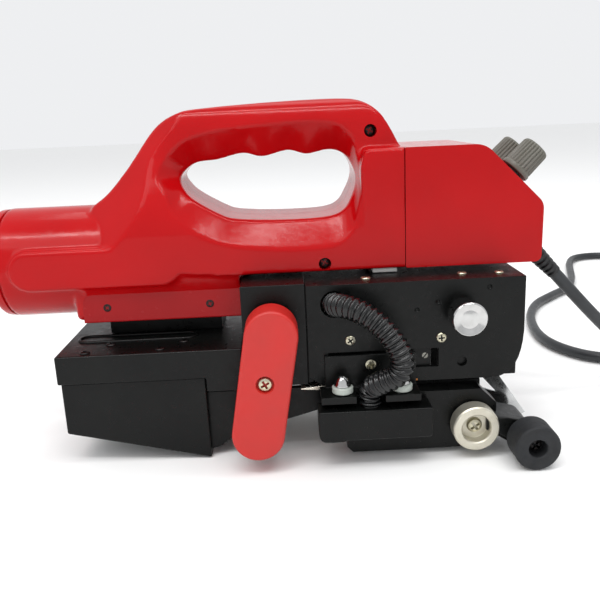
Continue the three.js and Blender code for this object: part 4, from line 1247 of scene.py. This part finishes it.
class WELDER_OT_carriage(bpy.types.Operator):
    """Makes the studs of the wedge, the corrugated conduit and the adjusting knob"""

    bl_idname = "welder.carriage"
    bl_label = "Wedge carriage"

    def execute(self, context):
        finish = finishes()
        block = rounded([(20, 32, 1), (20, 15.5, 4.5), (32, 15.5, 1), (34, 16.3, 1), (77, 16.3, 2),
                         (77, 32, 1)], 1)
        piece("heater_block_machined", prism(block, -55, -41.5, 0.8), finish["steel_black"],
              "wedge_carriage", ["heater_block"])
        for side, x in STUDS:
            washer = spun([(0, 0), (4.9, 0), (5.4, 0.5), (5.4, 3.0), (4.8, 3.6), (0, 3.6)], UP,
                          (x, STUD_Y, 39.0), 48, 0.3)
            piece(f"ceramic_washer_{side}_glazed", washer, finish["ceramic"], "wedge_carriage",
                  [f"ceramic_washer_{side}"], 30)
            nut = spun([(0, 0), (4.2, 0), (4.4, 0.6), (3.7, 1.4), (3.5, 2.5), (2.8, 4.0),
                        (1.4, 4.95), (0, 5.15)], UP, (x, STUD_Y, 42.75), 48)
            piece(f"dome_nut_{side}_plated", nut, finish["chrome"], "wedge_carriage",
                  [f"dome_nut_{side}"], 60)

        line = flowing([place(*spot) for spot in CONDUIT], steps=26)
        conduit = as_object(swept(line, conduit_radius, 28), "conduit_rings")
        conduit.data.materials.append(finish["conduit"])
        conduit.data.shade_smooth()
        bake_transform(conduit)
        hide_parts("conduit")

        hub = (95.0, -42.0, 76.0)
        knob = [(0, 0), (7.2, 0), (7.2, 0.6), (8.6, 1.0), (8.6, 11.2), (8.0, 11.9), (4.6, 10.9),
                (0, 11.7)]
        piece("adjust_knob_plated", spun(knob, NEAR_WAY, hub, 72, 0.35), finish["chrome"],
              "adjuster", ["adjust_knob"], 30)
        head = pan_screw(NEAR_WAY, (48.3, -37.0, 50.0), 3.2, 1.8, 0.2)
        piece("bracket_screw_head", head, finish["zinc"], "wedge_carriage",
              ["bracket_screw"])
        slotted = pan_screw(NEAR_WAY, (77.0, -32.7, 52.0), 2.4, 1.15, 0.9, cross=False)
        piece("carriage_bar_screw", slotted, finish["cast"], "wedge_carriage")
        tip = spun([(0, 0), (1.2, 0), (1.2, 2.5), (0.5, 6), (0, 6.2)], (1, 0, 0),
                   (66.5, -36.9, 40.2), 20)
        piece("sensor_tip", tip, finish["copper"], "wedge_carriage")
        return {"FINISHED"}


# ---- screws and beads ----------------------------------------------------------------------------

FACE_SCREWS = ((38.3, 62.8, 2.6), (84.9, 62.0, 2.6))
TOP_SCREWS = ((48.0, -25.2, 2.6), (97.8, -24.5, 2.4), (116.6, -26.0, 2.4))
GEARBOX_SCREWS = ((-98.2, -30.6), (-87.6, -18.2), (-59.7, -29.8), (-48.8, -18.2))
SHELL_SCREWS = ((54.5, 165.6, 1.5), (27.8, 99.4, -13.0))
SKIRT_SCREWS = ((-88.7, 80.2), (-34.1, 79.9))
BEAD_X, BEAD_Y, BEAD_LENGTH, BEAD_WIDTH = -75.0, -7.6, 64.0, 11.0
BEAD_RADIUS = 0.9
GEARBOX_HEAD, SHELL_HEAD, SKIRT_HEAD = (2.6, 0.9), (3.2, 1.2), (2.1, 0.4)  # radius, height
SKIRT_HALF = 28.0  # from the housing's middle to the skirt's face


class WELDER_OT_screws(bpy.types.Operator):
    """Makes the screws of the steel and of the housing, and the pressed bead on the gear box"""

    bl_idname = "welder.screws"
    bl_label = "Screws"

    def execute(self, context):
        finish = finishes()
        zinc = [pan_screw(NEAR_WAY, (x, FRONT_Y, z), radius, 1.1, x)
                for x, z, radius in FACE_SCREWS]
        zinc += [pan_screw(UP, (x, y, FRAME_TOP), radius, 1.1, x) for x, y, radius in TOP_SCREWS]
        piece("frame_screws", merge(*zinc), finish["zinc"], "frame")
        dark = [pan_screw(UP, (x, y, GEARBOX_TOP), *GEARBOX_HEAD, x) for x, y in GEARBOX_SCREWS]
        for x, z, y in SHELL_SCREWS:
            dark.append(pan_screw(NEAR_WAY, (x, y, z), *SHELL_HEAD, x))
            dark.append(pan_screw(ALONG_Y, (x, 2 * MID_Y - y, z), *SHELL_HEAD, x))
        for x, z in SKIRT_SCREWS:
            dark.append(pan_screw(NEAR_WAY, (x, MID_Y - SKIRT_HALF, z), *SKIRT_HEAD, x))
            dark.append(pan_screw(ALONG_Y, (x, MID_Y + SKIRT_HALF, z), *SKIRT_HEAD, x))
        piece("shell_screws", merge(*dark), finish["dark_screw"], "frame")
        path = [place(x, y, GEARBOX_TOP) for x, y in
                bar_outline(BEAD_X, BEAD_Y, BEAD_LENGTH, BEAD_WIDTH, 0, 12)]
        bead = swept(path + path[:1], lambda distance: BEAD_RADIUS * MM, 12)
        piece("gear_box_bead", bead, finish["steel_black"], "frame")
        return {"FINISHED"}


# ---- add-on -----------------------------------------------------------------------------------

SETTINGS = (
    ("welder_stage", StageSettings), ("welder_lead", LeadSettings),
    ("welder_housing", HousingSettings), ("welder_metal", MetalSettings),
)
OPERATORS = (
    WELDER_OT_stage, WELDER_OT_lead, WELDER_OT_housing, WELDER_OT_frame, WELDER_OT_box,
    WELDER_OT_lever, WELDER_OT_wheels, WELDER_OT_carriage, WELDER_OT_screws,
)


class WELDER_PT_pieces(bpy.types.Panel):
    """Lists the pieces that can be made"""

    bl_label = "Liner welder"
    bl_idname = "WELDER_PT_pieces"
    bl_space_type = "VIEW_3D"
    bl_region_type = "UI"
    bl_category = "Welder"

    def draw(self, context):
        for operator in OPERATORS:
            self.layout.operator(operator.bl_idname)
        for name, group in SETTINGS:
            for field in group.__annotations__:
                self.layout.prop(getattr(context.scene, name), field)


def register():
    for name, group in SETTINGS:
        bpy.utils.register_class(group)
        setattr(bpy.types.Scene, name, bpy.props.PointerProperty(type=group))
    for made in (*OPERATORS, WELDER_PT_pieces):
        bpy.utils.register_class(made)


def unregister():
    for made in reversed((*OPERATORS, WELDER_PT_pieces)):
        bpy.utils.unregister_class(made)
    for name, group in reversed(SETTINGS):
        delattr(bpy.types.Scene, name)
        bpy.utils.unregister_class(group)


def main():
    register()
    for operator in OPERATORS:
        group, action = operator.bl_idname.split(".")
        getattr(getattr(bpy.ops, group), action)()


if __name__ == "__main__":
    main()
